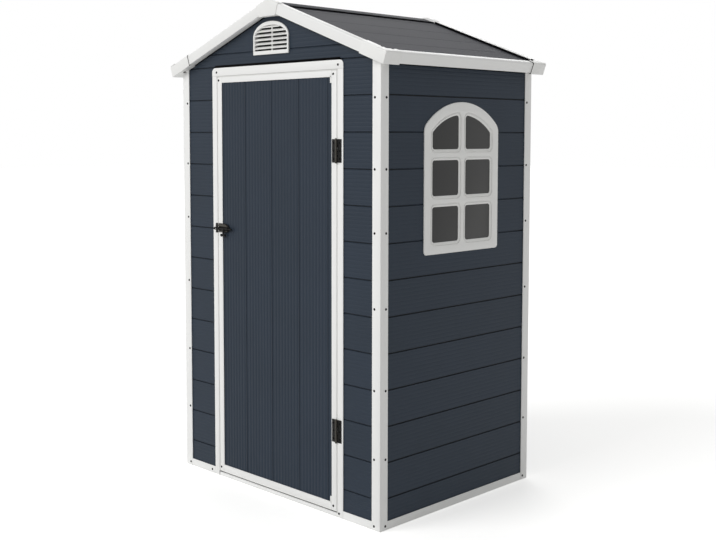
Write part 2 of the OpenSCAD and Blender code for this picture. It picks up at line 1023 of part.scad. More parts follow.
// Moulded cap over the meeting of two gable trims, with a level foot
module peak_cap(rear) {
    low = slope_point(peak_leg, -trim_h - cap_foot);
    crown = crest(-trim_h - cap_foot / 2);
    color("#e8e8e5") ended(rear) {
        for (left = [false, true])
            handed(left) {
                intersection() {
                    on_slope() along_gable(-trim_h, peak_leg)
                        sleeve_section(gable_reach, gable_reach);
                    translate([0, -far, 0]) cube([far, 2 * far, crown_z]);
                }
                intersection() {
                    on_slope() along_gable(-trim_h, peak_leg) sleeve_outline(gable_reach);
                    translate([0, -far, crown_z - cap_t]) cube([far, 2 * far, cap_t]);
                }
            }
        translate([0, -roof_y + gable_reach, 0]) rotate([90, 0, 0])
            linear_extrude(gable_reach + cap_t)
                polygon([[-low[0], low[1]], [low[0], low[1]], [0, crown]]);
    }
}

module peak_cap_front() {
    peak_cap(false);
}

module peak_cap_rear() {
    peak_cap(true);
}

base_rail_front_left();
base_rail_front_right();
base_rail_right();
base_rail_rear();
base_rail_left();
door_threshold();
corner_post_front_right();
corner_post_rear_right();
corner_post_rear_left();
corner_post_front_left();
front_wall_left();
front_wall_right();
front_gable();
right_wall();
rear_wall();
rear_gable();
left_wall();
door_jamb_left();
door_jamb_right();
door_head();
door_head_seal();
window_trim_outer();
window_glazing();
window_trim_inner();
front_vent();
rear_vent();
roof_panel_right();
roof_panel_left();
ridge_cover();
front_barge_right();
front_barge_left();
rear_barge_right();
rear_barge_left();
eave_trim_right();
eave_trim_left();
corner_cap_front_right();
corner_cap_front_left();
corner_cap_rear_right();
corner_cap_rear_left();
peak_cap_front();
peak_cap_rear();
hinge_jamb_plates();
latch_keeper();
door_sheet();
door_stile_hinge();
door_stile_latch();
door_rail_top();
door_rail_bottom();
hinge_door_plates();
latch_plate();
latch_bolt();
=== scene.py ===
"""Small flat-pack garden shed in resin: dark ribbed boards in white extruded channels."""
import math

import bmesh
import bpy
from mathutils import Matrix, Vector


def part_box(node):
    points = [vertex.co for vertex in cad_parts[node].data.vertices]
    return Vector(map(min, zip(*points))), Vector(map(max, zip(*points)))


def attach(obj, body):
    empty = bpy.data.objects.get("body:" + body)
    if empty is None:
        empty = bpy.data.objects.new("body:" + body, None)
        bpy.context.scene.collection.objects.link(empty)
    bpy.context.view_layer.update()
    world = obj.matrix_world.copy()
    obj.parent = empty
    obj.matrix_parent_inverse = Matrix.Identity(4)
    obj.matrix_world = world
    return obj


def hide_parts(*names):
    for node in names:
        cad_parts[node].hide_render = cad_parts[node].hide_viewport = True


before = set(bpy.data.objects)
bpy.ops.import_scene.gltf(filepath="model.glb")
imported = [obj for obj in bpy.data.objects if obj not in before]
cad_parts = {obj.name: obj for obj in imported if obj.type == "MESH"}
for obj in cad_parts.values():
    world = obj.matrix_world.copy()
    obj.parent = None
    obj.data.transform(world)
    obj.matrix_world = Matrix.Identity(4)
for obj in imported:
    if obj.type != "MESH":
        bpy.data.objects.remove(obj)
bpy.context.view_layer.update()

# ------------ studio
# A pale floor under an even white surround, a broad soft key from the front left
# and a weaker one from behind, so that every side of the shed can be read.
FLOOR_COLOUR = "F6F6F5"
SURROUND_COLOUR = "FFFFFF"
SURROUND_LIGHT = 0.435
FLOOR_LIFT = 0.5
KEYS = {  # direction the light travels in, strength, width of the source in degrees
    "key_front": ((0.30, 0.86, -0.55), 1.50, 40),
    "key_back": ((0.70, -0.62, -0.50), 0.6, 40),
}
FLOOR_REACH = 40
CAMERA_SPOT = (3.2292, -3.2164, 1.4422)
CAMERA_TURN = (85.902, -0.071, 44.879)  # degrees
CAMERA_LENS = 54.083
CAMERA_SHIFT = -0.08  # small, so that the roof stays in view from every side


def linear(text):
    """sRGB hex to the linear colour that a shader socket takes."""
    parts = [int(text[i : i + 2], 16) / 255 for i in (0, 2, 4)]
    return tuple(p / 12.92 if p <= 0.04045 else ((p + 0.055) / 1.055) ** 2.4 for p in parts) + (1,)


def add(tree, kind, settings=None, **links):
    """Adds a node. A link is a value for the input of that name, or (node, output) to join."""
    made = tree.nodes.new(kind)
    for key, value in (settings or {}).items():
        setattr(made, key, value)
    for key, value in links.items():
        key = key.replace("_", " ")
        numbered = key[0] == "i" and key[1:].isdigit()
        socket = made.inputs[int(key[1:]) if numbered else key]
        if isinstance(value, tuple) and len(value) == 2 and hasattr(value[0], "outputs"):
            tree.links.new(value[0].outputs[value[1]], socket)
        else:
            socket.default_value = value
    return made


def new_material(name):
    """A material without nodes, and its tree."""
    made = bpy.data.materials.new(name)
    made.use_nodes = True
    made.node_tree.nodes.clear()
    return made, made.node_tree


def linked(name, data):
    """A new object in the scene that carries a mesh, a lamp or a camera."""
    made = bpy.data.objects.new(name, data)
    bpy.context.scene.collection.objects.link(made)
    return made


def looked_at(tree):
    """1 to the camera, in reflections and through glass, and 0 where light falls."""
    path = add(tree, "ShaderNodeLightPath")
    seen = add(tree, "ShaderNodeMath", {"operation": "MAXIMUM"}, i0=(path, "Is Camera Ray"),
               i1=(path, "Is Glossy Ray"))
    seen = add(tree, "ShaderNodeMath", {"operation": "MAXIMUM"}, i0=(seen, 0),
               i1=(path, "Is Transmission Ray"))
    return seen, 0


# The background is white to the camera and in reflections, and lights the shed less.
world = bpy.data.worlds.new("surround")
bpy.context.scene.world = world
world.use_nodes = True
tree = world.node_tree
tree.nodes.clear()
strength = add(tree, "ShaderNodeMapRange", To_Min=SURROUND_LIGHT, To_Max=1.0,
               Value=looked_at(tree))
glow = add(tree, "ShaderNodeBackground", Color=linear(SURROUND_COLOUR), Strength=(strength, 0))
add(tree, "ShaderNodeOutputWorld", Surface=(glow, 0))

floor_mesh = bpy.data.meshes.new("floor")
floor_mesh.from_pydata([(x * FLOOR_REACH, y * FLOOR_REACH, 0)
                        for x, y in ((-1, -1), (1, -1), (1, 1), (-1, 1))], [], [(0, 1, 2, 3)])
floor = linked("floor", floor_mesh)
paper, tree = new_material("floor_paper")
lift = add(tree, "ShaderNodeMath", {"operation": "MULTIPLY"}, i0=looked_at(tree), i1=FLOOR_LIFT)
matt = add(tree, "ShaderNodeBsdfDiffuse", Color=linear(FLOOR_COLOUR))
glow = add(tree, "ShaderNodeEmission", Color=linear(FLOOR_COLOUR), Strength=(lift, 0))
both = add(tree, "ShaderNodeAddShader", i0=(matt, 0), i1=(glow, 0))
add(tree, "ShaderNodeOutputMaterial", Surface=(both, 0))
floor.data.materials.append(paper)

for name, (direction, strength, width) in KEYS.items():
    lamp = bpy.data.lights.new(name, "SUN")
    lamp.energy = strength
    lamp.angle = math.radians(width)
    turn = Vector(direction).to_track_quat("-Z", "Y").to_euler()
    linked(name, lamp).rotation_euler = turn

camera = linked("camera", bpy.data.cameras.new("camera"))
camera.location = CAMERA_SPOT
camera.rotation_euler = tuple(math.radians(a) for a in CAMERA_TURN)
camera.data.lens = CAMERA_LENS
camera.data.shift_y = CAMERA_SHIFT
bpy.context.scene.camera = camera
bpy.context.scene.view_settings.view_transform = "Standard"

# ------------ base
# Channel rails that lie on the ground and take the feet of the wall boards, and the door's
# threshold between them. Extruded rigid PVC, off-white right through, screwed at the ends.
BASE_RAILS = ["base_rail_front_left", "base_rail_front_right", "base_rail_right",
              "base_rail_rear", "base_rail_left", "door_threshold"]
RAIL_EDGE = 0.0012
SHARP = 33  # degrees from which an edge is shaded as a crease
WELD = 2e-5  # between the loose triangles of a solid
FLAT = 0.5  # degrees up to which triangles count as one face


def skinned(material, tree, tone, rough, noise, relief=None, **skin):
    """Ends a material with a skin in a tone. Its roughness is a number or a range across a
    noise, its relief a noise with strength and depth."""
    if isinstance(rough, tuple):
        rough = (add(tree, "ShaderNodeMapRange", To_Min=rough[0], To_Max=rough[1],
                     Value=(noise, 0)), 0)
    if relief:
        grain, strength, depth = relief
        skin["Normal"] = (add(tree, "ShaderNodeBump", Strength=strength, Distance=depth,
                              Height=(grain, 0)), 0)
    skin = add(tree, "ShaderNodeBsdfPrincipled", Base_Color=(tone, 2), Roughness=rough, **skin)
    add(tree, "ShaderNodeOutputMaterial", Surface=(skin, 0))
    return material


def mottled(name, cloud, shades, rough, relief=None, **skin):
    """A material whose tone wanders between two shades in a noise (scale, detail). Its relief
    is a grain (size, strength, depth)."""
    made, tree = new_material(name)
    place = add(tree, "ShaderNodeTexCoord")
    cloud = add(tree, "ShaderNodeTexNoise", Vector=(place, "Object"), Scale=cloud[0],
                Detail=cloud[1])
    tone = add(tree, "ShaderNodeMix", {"data_type": "RGBA"}, Factor=(cloud, 0),
               i6=linear(shades[0]), i7=linear(shades[1]))
    if relief:
        grain = add(tree, "ShaderNodeTexNoise", Vector=(place, "Object"), Scale=1 / relief[0],
                    Detail=2.0)
        relief = grain, *relief[1:]
    return skinned(made, tree, tone, rough, cloud, relief, **skin)


# Extruded rigid PVC: an even satin white whose tone wanders a little over a hand's breadth,
# with the faint orange peel of the die, drawn at 2.5 mm so that it shows.
white_pvc = mottled("white_pvc_extruded", (7.0, 3.0), ("EAEAE8", "EFEFEE"), (0.36, 0.48),
                    (0.0025, 0.2, 0.0002), IOR=1.53)


def keep(name, mesh, body, material=None):
    """Links a finished mesh as a piece that rides on a body."""
    mesh.polygons.foreach_set("use_smooth", [True] * len(mesh.polygons))
    mesh.set_sharp_from_angle(angle=math.radians(SHARP))
    if material:
        mesh.materials.clear()
        mesh.materials.append(material)
    piece = linked(name, mesh)
    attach(piece, body)
    return piece


def settled(piece):
    """The mesh that a piece's modifiers make, with the piece itself taken away."""
    bpy.context.view_layer.update()
    graph = bpy.context.evaluated_depsgraph_get()
    mesh = bpy.data.meshes.new_from_object(piece.evaluated_get(graph))
    bpy.data.objects.remove(piece)
    return mesh


def rounded(mesh, edge, segments=2, angle=40):
    """A mesh with the edges sharper than an angle rounded."""
    piece = linked("work", mesh)
    bevel = piece.modifiers.new("edge", "BEVEL")
    bevel.width = edge
    bevel.segments = segments
    bevel.limit_method = "ANGLE"
    bevel.angle_limit = math.radians(angle)
    return settled(piece)


def opened(mesh=None):
    """A mesh opened for work on it, or an empty one."""
    work = bmesh.new()
    if mesh is not None:
        work.from_mesh(mesh)
    return work


def closed(work, mesh=None, outwards=False):
    """The mesh that the work made, new or the one it came from, its faces turned outwards
    where that is asked."""
    if outwards:
        bmesh.ops.recalc_face_normals(work, faces=work.faces)
    if mesh is None:
        mesh = bpy.data.meshes.new("mesh")
    work.to_mesh(mesh)
    work.free()
    return mesh


def bare(node):
    """A copy of a CAD node's solid with its loose triangles merged."""
    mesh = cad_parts[node].data.copy()
    work = opened(mesh)
    bmesh.ops.remove_doubles(work, verts=work.verts, dist=WELD)
    bmesh.ops.dissolve_limit(work, angle_limit=math.radians(FLAT), verts=work.verts,
                             edges=work.edges)
    return closed(work, mesh)


def eased(node, edge, angle=40):
    """A copy of a CAD node's solid with its edges rounded."""
    return rounded(bare(node), edge, angle=angle)


def dressed(nodes, ending, edge, material):
    """Parts of the white frame with their edges rounded, in place of their CAD nodes."""
    for node in nodes:
        piece = keep(node + ending, eased(node, edge), "shed", material)
        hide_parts(node)


dressed(BASE_RAILS, "_profile", RAIL_EDGE, white_pvc)

# ------------ corner posts
# One L-shaped extrusion at each corner, its flanges over the ends of the wall boards,
# held by small black pan-head screws through both flanges.
POSTS = ["corner_post_front_right", "corner_post_rear_right", "corner_post_rear_left",
         "corner_post_front_left"]
POST_EDGE = 0.0018
POST_SCREW_HEIGHTS = (0.0154, 0.264, 0.518, 0.817, 1.092, 1.322, 1.5785)
POST_SCREW_INSET = 0.0295
SCREW_HEAD = 0.0095
SCREW_DOME = 0.0022
RECESS = (0.0044, 0.0011, 0.0012)  # span, width and depth of the cross in a head

dressed(POSTS, "_profile", POST_EDGE, white_pvc)

# Case-hardened steel with a black phosphate coat: near black, dull, a little mottled.
black_screw = mottled("black_phosphated_screw_steel", (900.0, 2.0), ("060607", "0F1011"), 0.7,
                      Specular_IOR_Level=0.08)


def new_tree(name, sizes, counts=()):
    """A Geometry Nodes tree with named inputs, and the node that gives them."""
    tree = bpy.data.node_groups.new(name, "GeometryNodeTree")
    for label, kind in (("Geometry", "Geometry"), *((count, "Int") for count in counts),
                        *((size, "Float") for size in sizes), ("Material", "Material")):
        tree.interface.new_socket(label, in_out="INPUT", socket_type="NodeSocket" + kind)
    tree.interface.new_socket("Geometry", in_out="OUTPUT", socket_type="NodeSocketGeometry")
    return tree, add(tree, "NodeGroupInput")


def end_tree(tree, given, shape):
    """Ends a tree with its instances made real and in its material."""
    real = add(tree, "GeometryNodeRealizeInstances", Geometry=(shape, 0))
    coated = add(tree, "GeometryNodeSetMaterial", Geometry=(real, 0),
                 Material=(given, "Material"))
    add(tree, "NodeGroupOutput", Geometry=(coated, 0))


# Pan heads on points: each point carries the way its head faces.
screw_heads, given = new_tree("screw_heads", ("Head", "Dome", "Recess Span", "Recess Width",
                                              "Recess Depth"))
tree = screw_heads
ball = add(tree, "GeometryNodeMeshUVSphere", Segments=16, Rings=8, Radius=0.5)
tall = add(tree, "ShaderNodeMath", {"operation": "MULTIPLY"}, i0=(given, "Dome"), i1=2.0)
size = add(tree, "ShaderNodeCombineXYZ", X=(given, "Head"), Y=(given, "Head"), Z=(tall, 0))
head = add(tree, "GeometryNodeTransform", Geometry=(ball, "Mesh"), Scale=(size, 0))
lift = add(tree, "ShaderNodeCombineXYZ", Z=(given, "Dome"))
# The second bar of the cross is cut a little shallower, so that the two floors don't meet.
for long, short, depths in (("X", "Y", 2.0), ("Y", "X", 1.8)):
    deep = add(tree, "ShaderNodeMath", {"operation": "MULTIPLY"}, i0=(given, "Recess Depth"),
               i1=depths)
    span = add(tree, "ShaderNodeCombineXYZ", Z=(deep, 0),
               **{long: (given, "Recess Span"), short: (given, "Recess Width")})
    bar = add(tree, "GeometryNodeMeshCube", Size=(span, 0))
    bar = add(tree, "GeometryNodeTransform", Geometry=(bar, "Mesh"), Translation=(lift, 0))
    head = add(tree, "GeometryNodeMeshBoolean", {"operation": "DIFFERENCE", "solver": "EXACT"},
               Mesh_1=(head, 0), Mesh_2=(bar, 0))
facing = add(tree, "GeometryNodeInputNamedAttribute", {"data_type": "FLOAT_VECTOR"},
             Name="facing")
turn = add(tree, "FunctionNodeAlignRotationToVector", {"axis": "Z"}, Vector=(facing, 0))
heads = add(tree, "GeometryNodeInstanceOnPoints", Points=(given, "Geometry"),
            Instance=(head, 0), Rotation=(turn, 0))
end_tree(tree, given, heads)


def grown(tree, base, **inputs):
    """The mesh that a Geometry Nodes tree makes from a base mesh and its named inputs."""
    piece = linked("work", base)
    grow = piece.modifiers.new("grow", "NODES")
    grow.node_group = tree
    for item in tree.interface.items_tree:
        key = item.name.replace(" ", "_")
        if item.item_type == "SOCKET" and item.in_out == "INPUT" and key in inputs:
            grow[item.identifier] = inputs[key]
    return settled(piece)


def screws(name, body, spots, head=SCREW_HEAD):
    """Screw heads as one piece. A spot is a place on a face and the way that face looks."""
    base = bpy.data.meshes.new("spots")
    base.from_pydata([tuple(spot) for spot, facing in spots], [], [])
    facing = base.attributes.new("facing", "FLOAT_VECTOR", "POINT")
    facing.data.foreach_set("vector", [axis for spot, way in spots for axis in way])
    span, width, depth = RECESS
    mesh = grown(screw_heads, base, Head=head, Dome=SCREW_DOME, Recess_Span=span,
                 Recess_Width=width, Recess_Depth=depth, Material=black_screw)
    return keep(name, mesh, body)


post_low, post_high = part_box("corner_post_front_right")
HALF_W = post_high[0]
HALF_D = -post_low[1]


def side(n):
    """A side's own axes: X to its right seen from outside, Y inwards from its face, Z up."""
    half = HALF_W if n % 2 else HALF_D
    return Matrix.Rotation(math.radians(90 * n), 4, "Z") @ Matrix.Translation((0, -half, 0))


spots = []
for n in range(4):
    at = side(n)
    reach = (HALF_D if n % 2 else HALF_W) - POST_SCREW_INSET
    for z in POST_SCREW_HEIGHTS:
        for x in (-reach, reach):
            spots.append((at @ Vector((x, 0, z)), at.to_3x3() @ Vector((0, -1, 0))))
screws("corner_post_screws", "shed", spots)

# ------------ wall boards
# Twin-wall boards that lock edge to edge, each ribbed along its length and meeting the next
# in a narrow groove. Blow-moulded polypropylene, slate grey right through.
BOARD = 0.134
FIRST_SEAM = 0.115
GABLE_SEAM = 0.0495
RIBS = 9
RIB_DEPTH = 0.0006
RIB_NARROWNESS = 3.0
# The third number of a groove is how far painted shade darkens it, standing for the shade in its
# depth.
GROOVE = (0.005, 0.0038, 0.65)  # width, depth, and how far it darkens
SHADED_GROOVE = (0.0056, 0.0045, 1.0)  # the same on the long sides, where less light gets in
ROWS = 144  # rows of faces on one board
BATCH_SHADE = 0.35  # how far one board's shade lies off the next


def board_plastic(name, scale, shades, rough, relief, seam=None, **skin):
    """Moulded board plastic: one board a shade off the next, a grain (size, strength, depth), and
    painted shade in the seams."""
    made, tree = new_material(name)
    place = add(tree, "ShaderNodeTexCoord")
    number = add(tree, "ShaderNodeAttribute", {"attribute_name": "board"})
    batch = add(tree, "ShaderNodeTexWhiteNoise", {"noise_dimensions": "1D"}, W=(number, "Fac"))
    cloud = add(tree, "ShaderNodeTexNoise", Vector=(place, "Object"), Scale=scale, Detail=4.0)
    blend = add(tree, "ShaderNodeMath", {"operation": "MULTIPLY_ADD"}, i0=(batch, "Value"),
                i1=BATCH_SHADE, i2=(cloud, 0))
    tone = add(tree, "ShaderNodeMix", {"data_type": "RGBA"}, Factor=(blend, 0),
               i6=linear(shades[0]), i7=linear(shades[1]))
    # The seam colour is painted shade, mixed in by how deep the groove is.
    if seam:
        painted_seam_shade = add(tree, "ShaderNodeAttribute", {"attribute_name": "seam"})
        tone = add(tree, "ShaderNodeMix", {"data_type": "RGBA"}, Factor=(painted_seam_shade, "Fac"),
                   i6=(tone, 2), i7=linear(seam))
    grain = add(tree, "ShaderNodeTexNoise", Vector=(place, "Object"), Scale=1 / relief[0],
                Detail=3.0)
    return skinned(made, tree, tone, rough, grain, (grain, *relief[1:]), IOR=1.49, **skin)


# Blow-moulded polypropylene: dark slate, one board a shade off the next, with the low sheen and
# the fine leather grain of the mould, drawn at 3 mm so that it shows. Shade is painted into the
# seams in a near black.
slate_board = board_plastic("slate_polypropylene_moulded", 5.0, ("182430", "1E2A38"),
                            (0.5, 0.62), (0.003, 0.25, 0.0003), "07090C",
                            Specular_IOR_Level=0.28)

# A boarded sheet: X along the boards, Y inwards from the outer face, Z across the boards.
# Rows of faces are counted from a seam, so that the bottom of each groove is a row's edge.
BOARD_SIZES = ("Length", "Low", "High", "Thickness", "Seam", "Board", "Ribs", "Rib Depth",
               "Groove Width", "Groove Depth", "Groove Shade", "Rows")
boarded_sheet, given = new_tree("boarded_sheet", BOARD_SIZES)
tree = boarded_sheet
spot = add(tree, "GeometryNodeInputPosition")
spot = add(tree, "ShaderNodeSeparateXYZ", Vector=(spot, 0))
value = {label: (given, label) for label in BOARD_SIZES}
value["grid X"] = (spot, "X")
for name, operation, *terms in (
        ("row", "DIVIDE", "Board", "Rows"),
        ("rows", "SUBTRACT", "High", "Low"),
        ("rows", "DIVIDE", "rows", "row"),
        ("rows", "CEIL", "rows"),
        ("rows", "ADD", "rows", 2.0),
        ("lines", "ADD", "rows", 1.0),
        ("start", "SUBTRACT", "Low", "Seam"),
        ("start", "DIVIDE", "start", "row"),
        ("start", "FLOOR", "start"),
        ("count", "MULTIPLY_ADD", "rows", 0.5, "grid X"),
        ("count", "ADD", "count", "start"),
        ("across", "MULTIPLY_ADD", "count", "row", "Seam"),
        ("across", "MAXIMUM", "across", "Low"),
        ("across", "MINIMUM", "across", "High"),
        ("boards", "SUBTRACT", "across", "Seam"),
        ("boards", "DIVIDE", "boards", "Board"),
        ("number", "FLOOR", "boards"),
        ("part", "FRACT", "boards"),
        ("wave", "MULTIPLY", "part", "Ribs"),
        ("wave", "MULTIPLY", "wave", 2 * math.pi),
        ("wave", "COSINE", "wave"),
        ("wave", "MULTIPLY_ADD", "wave", -0.5, 0.5),
        ("wave", "POWER", "wave", RIB_NARROWNESS),
        ("wave", "MULTIPLY", "wave", "Rib Depth"),
        ("rest", "SUBTRACT", 1.0, "part"),
        ("near", "MINIMUM", "part", "rest"),
        ("near", "MULTIPLY", "near", "Board"),
        ("near", "DIVIDE", "near", "Groove Width"),
        ("slot", "MULTIPLY_ADD", "near", -4.0, 2.0),  # full depth in the groove's middle half
        ("depth", "MULTIPLY_ADD", "slot", "Groove Depth", "wave"),
        ("shade", "MULTIPLY", "slot", "Groove Shade")):
    sums = {f"i{k}": value.get(term, term) for k, term in enumerate(terms)}
    made = add(tree, "ShaderNodeMath", {"operation": operation, "use_clamp": name == "slot"},
               **sums)
    value[name] = (made, 0)
sheet = add(tree, "GeometryNodeMeshGrid", Size_X=value["rows"], Size_Y=value["Length"],
            Vertices_X=value["lines"], Vertices_Y=2)
numbered = add(tree, "GeometryNodeStoreNamedAttribute", {"domain": "FACE"},
               Geometry=(sheet, "Mesh"), Name="board", Value=value["number"])
# The groove's painted shade is kept for the material as "seam".
numbered = add(tree, "GeometryNodeStoreNamedAttribute", Geometry=(numbered, 0), Name="seam",
               Value=value["shade"])
shaped = add(tree, "ShaderNodeCombineXYZ", X=(spot, "Y"), Y=value["depth"], Z=value["across"])
outer = add(tree, "GeometryNodeSetPosition", Geometry=(numbered, 0), Position=(shaped, 0))
inwards = add(tree, "ShaderNodeCombineXYZ", Y=value["Thickness"])
body = add(tree, "GeometryNodeExtrudeMesh", Mesh=(outer, 0), Offset=(inwards, 0),
           Individual=False)
flat = add(tree, "ShaderNodeCombineXYZ", X=(spot, "X"), Y=value["Thickness"], Z=(spot, "Z"))
body = add(tree, "GeometryNodeSetPosition", Geometry=(body, "Mesh"), Selection=(body, "Top"),
           Position=(flat, 0))
outer = add(tree, "GeometryNodeFlipFaces", Mesh=(outer, 0))
both = add(tree, "GeometryNodeJoinGeometry", Geometry=(outer, 0))
tree.links.new(body.outputs[0], both.inputs[0])
whole = add(tree, "GeometryNodeMergeByDistance", Geometry=(both, 0), Distance=1e-5)
end_tree(tree, given, whole)


def boards(length, low, high, thick, seam, board=BOARD, rib=RIB_DEPTH, material=slate_board,
           groove=GROOVE):
    """A boarded sheet in its own axes."""
    return grown(boarded_sheet, bpy.data.meshes.new("base"), Length=length, Low=low, High=high,
                 Thickness=thick, Seam=seam, Board=board, Ribs=float(RIBS), Rib_Depth=rib,
                 Groove_Width=groove[0], Groove_Depth=groove[1], Groove_Shade=groove[2],
                 Rows=float(ROWS), Material=material)


def trimmed(mesh, point, away):
    """A mesh cut along a plane, without what lies on the side that the plane faces."""
    work = opened(mesh)
    cut = bmesh.ops.bisect_plane(work, geom=work.verts[:] + work.edges[:] + work.faces[:],
                                 plane_co=point, plane_no=away, clear_outer=True, dist=1e-6)
    rim = [e for e in cut["geom_cut"] if isinstance(e, bmesh.types.BMEdge)]
    bmesh.ops.edgeloop_fill(work, edges=rim)
    return closed(work, mesh)


def prism(outlines, near, far):
    """A solid between two depths of a side, its outline drawn in X and Z."""
    work = opened()
    for outline in outlines:
        face = work.faces.new([work.verts.new((x, near, z)) for x, z in outline])
        made = bmesh.ops.extrude_face_region(work, geom=[face])["geom"]
        bmesh.ops.translate(work, vec=(0, far - near, 0),
                            verts=[v for v in made if isinstance(v, bmesh.types.BMVert)])
    return closed(work, outwards=True)


def pierced(mesh, tool):
    """A mesh with another cut out of it."""
    piece = linked("work", mesh)
    cutter = linked("work", tool)
    cut = piece.modifiers.new("cut", "BOOLEAN")
    cut.object = cutter
    cut.solver = "EXACT"
    done = settled(piece)
    bpy.data.objects.remove(cutter)
    return done


# The roof's underside trims the tops of the walls.
PITCH = math.radians(20.3)
RIDGE = 1.973
ROOF_BED = 0.0268
WALL_SPARE = 0.02  # how far the side walls run up before the roof trims them
THROUGH = (-0.1, 0.1)  # depths of a cutter that goes right through a wall
VENT_W = 0.210
VENT_SIDES = 0.069
VENT_RISE = 0.060
VENT_STEPS = 48
VENT_SHIFT = -0.008
VENT_LIFT = 0.034
OPENING_INSET = 0.005


def vent_outline(inset, side_inset=None):
    """Half-oval outline of a vent above the middle of its foot, shrunk at foot and crown by
    inset and at its sides by side_inset."""
    half = VENT_W / 2 - (inset if side_inset is None else side_inset)
    arch = [math.pi * k / VENT_STEPS for k in range(VENT_STEPS + 1)]
    return [(-half, inset), (half, inset)] + [
        (half * math.cos(a), VENT_SIDES + (VENT_RISE - inset) * math.sin(a)) for a in arch]


WALLS = {  # the side that each is on
    "front_wall_left": 0, "front_wall_right": 0, "right_wall": 1, "rear_wall": 2,
    "left_wall": 3, "front_gable": 0, "rear_gable": 2,
}
WINDOW_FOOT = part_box("window_trim_outer")[0][2]
WINDOW_SHIFT = sum(corner[1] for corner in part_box("window_trim_outer")) / 2
WINDOW_HOLE = [(-0.202, 0.02), (0.202, 0.02), (0.202, 0.45), (0.16, 0.50), (0.09, 0.535),
               (-0.09, 0.535), (-0.16, 0.50), (-0.202, 0.45)]
for node, n in WALLS.items():
    low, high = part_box(node)
    at = side(n)
    back = at.inverted()
    corners = [back @ Vector(c) for c in (low, high)]
    west, east = sorted(c.x for c in corners)
    face, inner = sorted(c.y for c in corners)
    gable = "gable" in node
    mesh = boards(east - west, low[2], RIDGE if gable else high[2] + WALL_SPARE * (n % 2),
                  inner - face, low[2] + GABLE_SEAM if gable else FIRST_SEAM,
                  groove=SHADED_GROOVE if n % 2 else GROOVE)
    if gable:
        mesh = pierced(mesh, prism([[(x + VENT_SHIFT, z + low[2] + VENT_LIFT) for x, z in
                                     vent_outline(OPENING_INSET)]], *THROUGH))
    if node == "right_wall":
        mesh = pierced(mesh, prism([[(x + WINDOW_SHIFT, z + WINDOW_FOOT) for x, z in
                                     WINDOW_HOLE]], *THROUGH))
    mesh.transform(at @ Matrix.Translation(((west + east) / 2, face, 0)))
    for way in (-1, 1):
        slope = Vector((way * math.sin(PITCH), 0, math.cos(PITCH)))
        mesh = trimmed(mesh, Vector((0, 0, RIDGE)) - slope * ROOF_BED, slope)
    piece = keep(node + "_boards", mesh, "shed")
    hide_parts(node)

# ------------ doorway
# Two jambs with a head across them, screwed to the walls, and a rubber seal on the head
# that keeps rain off the gable's foot. Jambs and head are extruded PVC, the seal is EPDM.
DOORWAY = ["door_jamb_left", "door_jamb_right", "door_head"]
FRAME_EDGE = 0.0015
HEAD_ROUND = 0.018
CLEAR = 0.01  # how far a cutter reaches past what it cuts
SEAL_PROUD = 0.003
SEAL_RISE = 0.0045
SEAL_END = 0.008
SEAL_LAP = 0.0005
SEAL_EDGE = 0.0005
BULB_EDGE = 0.0010
FRAME_SCREWS = ((-0.3552, 1.7023), (0.3688, 1.7029), (-0.4054, 0.0150), (0.3748, 0.0163))

for node in DOORWAY:
    mesh = bare(node)
    if node == "door_head":
        low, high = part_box(node)
        for x, way in ((low[0], -1), (high[0], 1)):
            arc = [math.pi / 2 * k / 12 for k in range(13)]
            cut = [(x - way * HEAD_ROUND * (1 - math.cos(a)),
                    high[2] - HEAD_ROUND * (1 - math.sin(a))) for a in arc]
            cut += [(cut[-1][0], high[2] + CLEAR), (x + way * CLEAR, high[2] + CLEAR),
                    (x + way * CLEAR, cut[0][1])]
            mesh = pierced(mesh, prism([cut], low[1] - CLEAR, high[1] + CLEAR))
    piece = keep(node + "_profile", rounded(mesh, FRAME_EDGE), "shed", white_pvc)
    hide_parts(node)
front = side(0)


def on_front(places, depth=0):
    """Spots that face forwards, at a depth behind the front's face."""
    return [(front @ Vector((x, depth, z)), Vector((0, -1, 0))) for x, z in places]


screws("door_frame_screws", "shed", on_front(FRAME_SCREWS))


def together(meshes, place=Matrix()):
    """Meshes joined in one, put in their place."""
    work = opened()
    for mesh in meshes:
        mesh.transform(place)
        work.from_mesh(mesh)
    return closed(work)


def oblong(west, foot, east, top):
    """Outline of a rectangle."""
    return [(west, foot), (east, foot), (east, top), (west, top)]


# EPDM rubber: deep black, matt, with the fine drag lines of extrusion along it.
# The same black also serves for strips of painted shade in the roof's gaps and under the trims.
black_rubber_and_shade, tree = new_material("black_epdm_rubber")
place = add(tree, "ShaderNodeTexCoord")
drag = add(tree, "ShaderNodeMapping", Vector=(place, "Object"), Scale=(12.0, 900.0, 900.0))
drag = add(tree, "ShaderNodeTexNoise", Vector=(drag, 0), Scale=1.0, Detail=2.0)
tone = add(tree, "ShaderNodeMix", {"data_type": "RGBA"}, Factor=(drag, 0),
           i6=linear("040405"), i7=linear("0B0B0C"))
skinned(black_rubber_and_shade, tree, tone, 0.9, drag, (drag, 0.2, 0.0002), IOR=1.5,
        Specular_IOR_Level=0.06)

# Its outer half is a bulb that laps the foot of the gable.
low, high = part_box("door_head_seal")
strip = prism([oblong(low[0], low[2], high[0], high[2])], low[1], high[1])
bulb = prism([oblong(low[0] + SEAL_END, low[2], high[0] - SEAL_END, high[2] + SEAL_RISE)],
             low[1] - SEAL_PROUD, low[1] + SEAL_LAP)
mesh = together([rounded(strip, SEAL_EDGE), rounded(bulb, BULB_EDGE)])
seal = keep("door_head_seal_strip", mesh, "shed", black_rubber_and_shade)
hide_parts("door_head_seal")

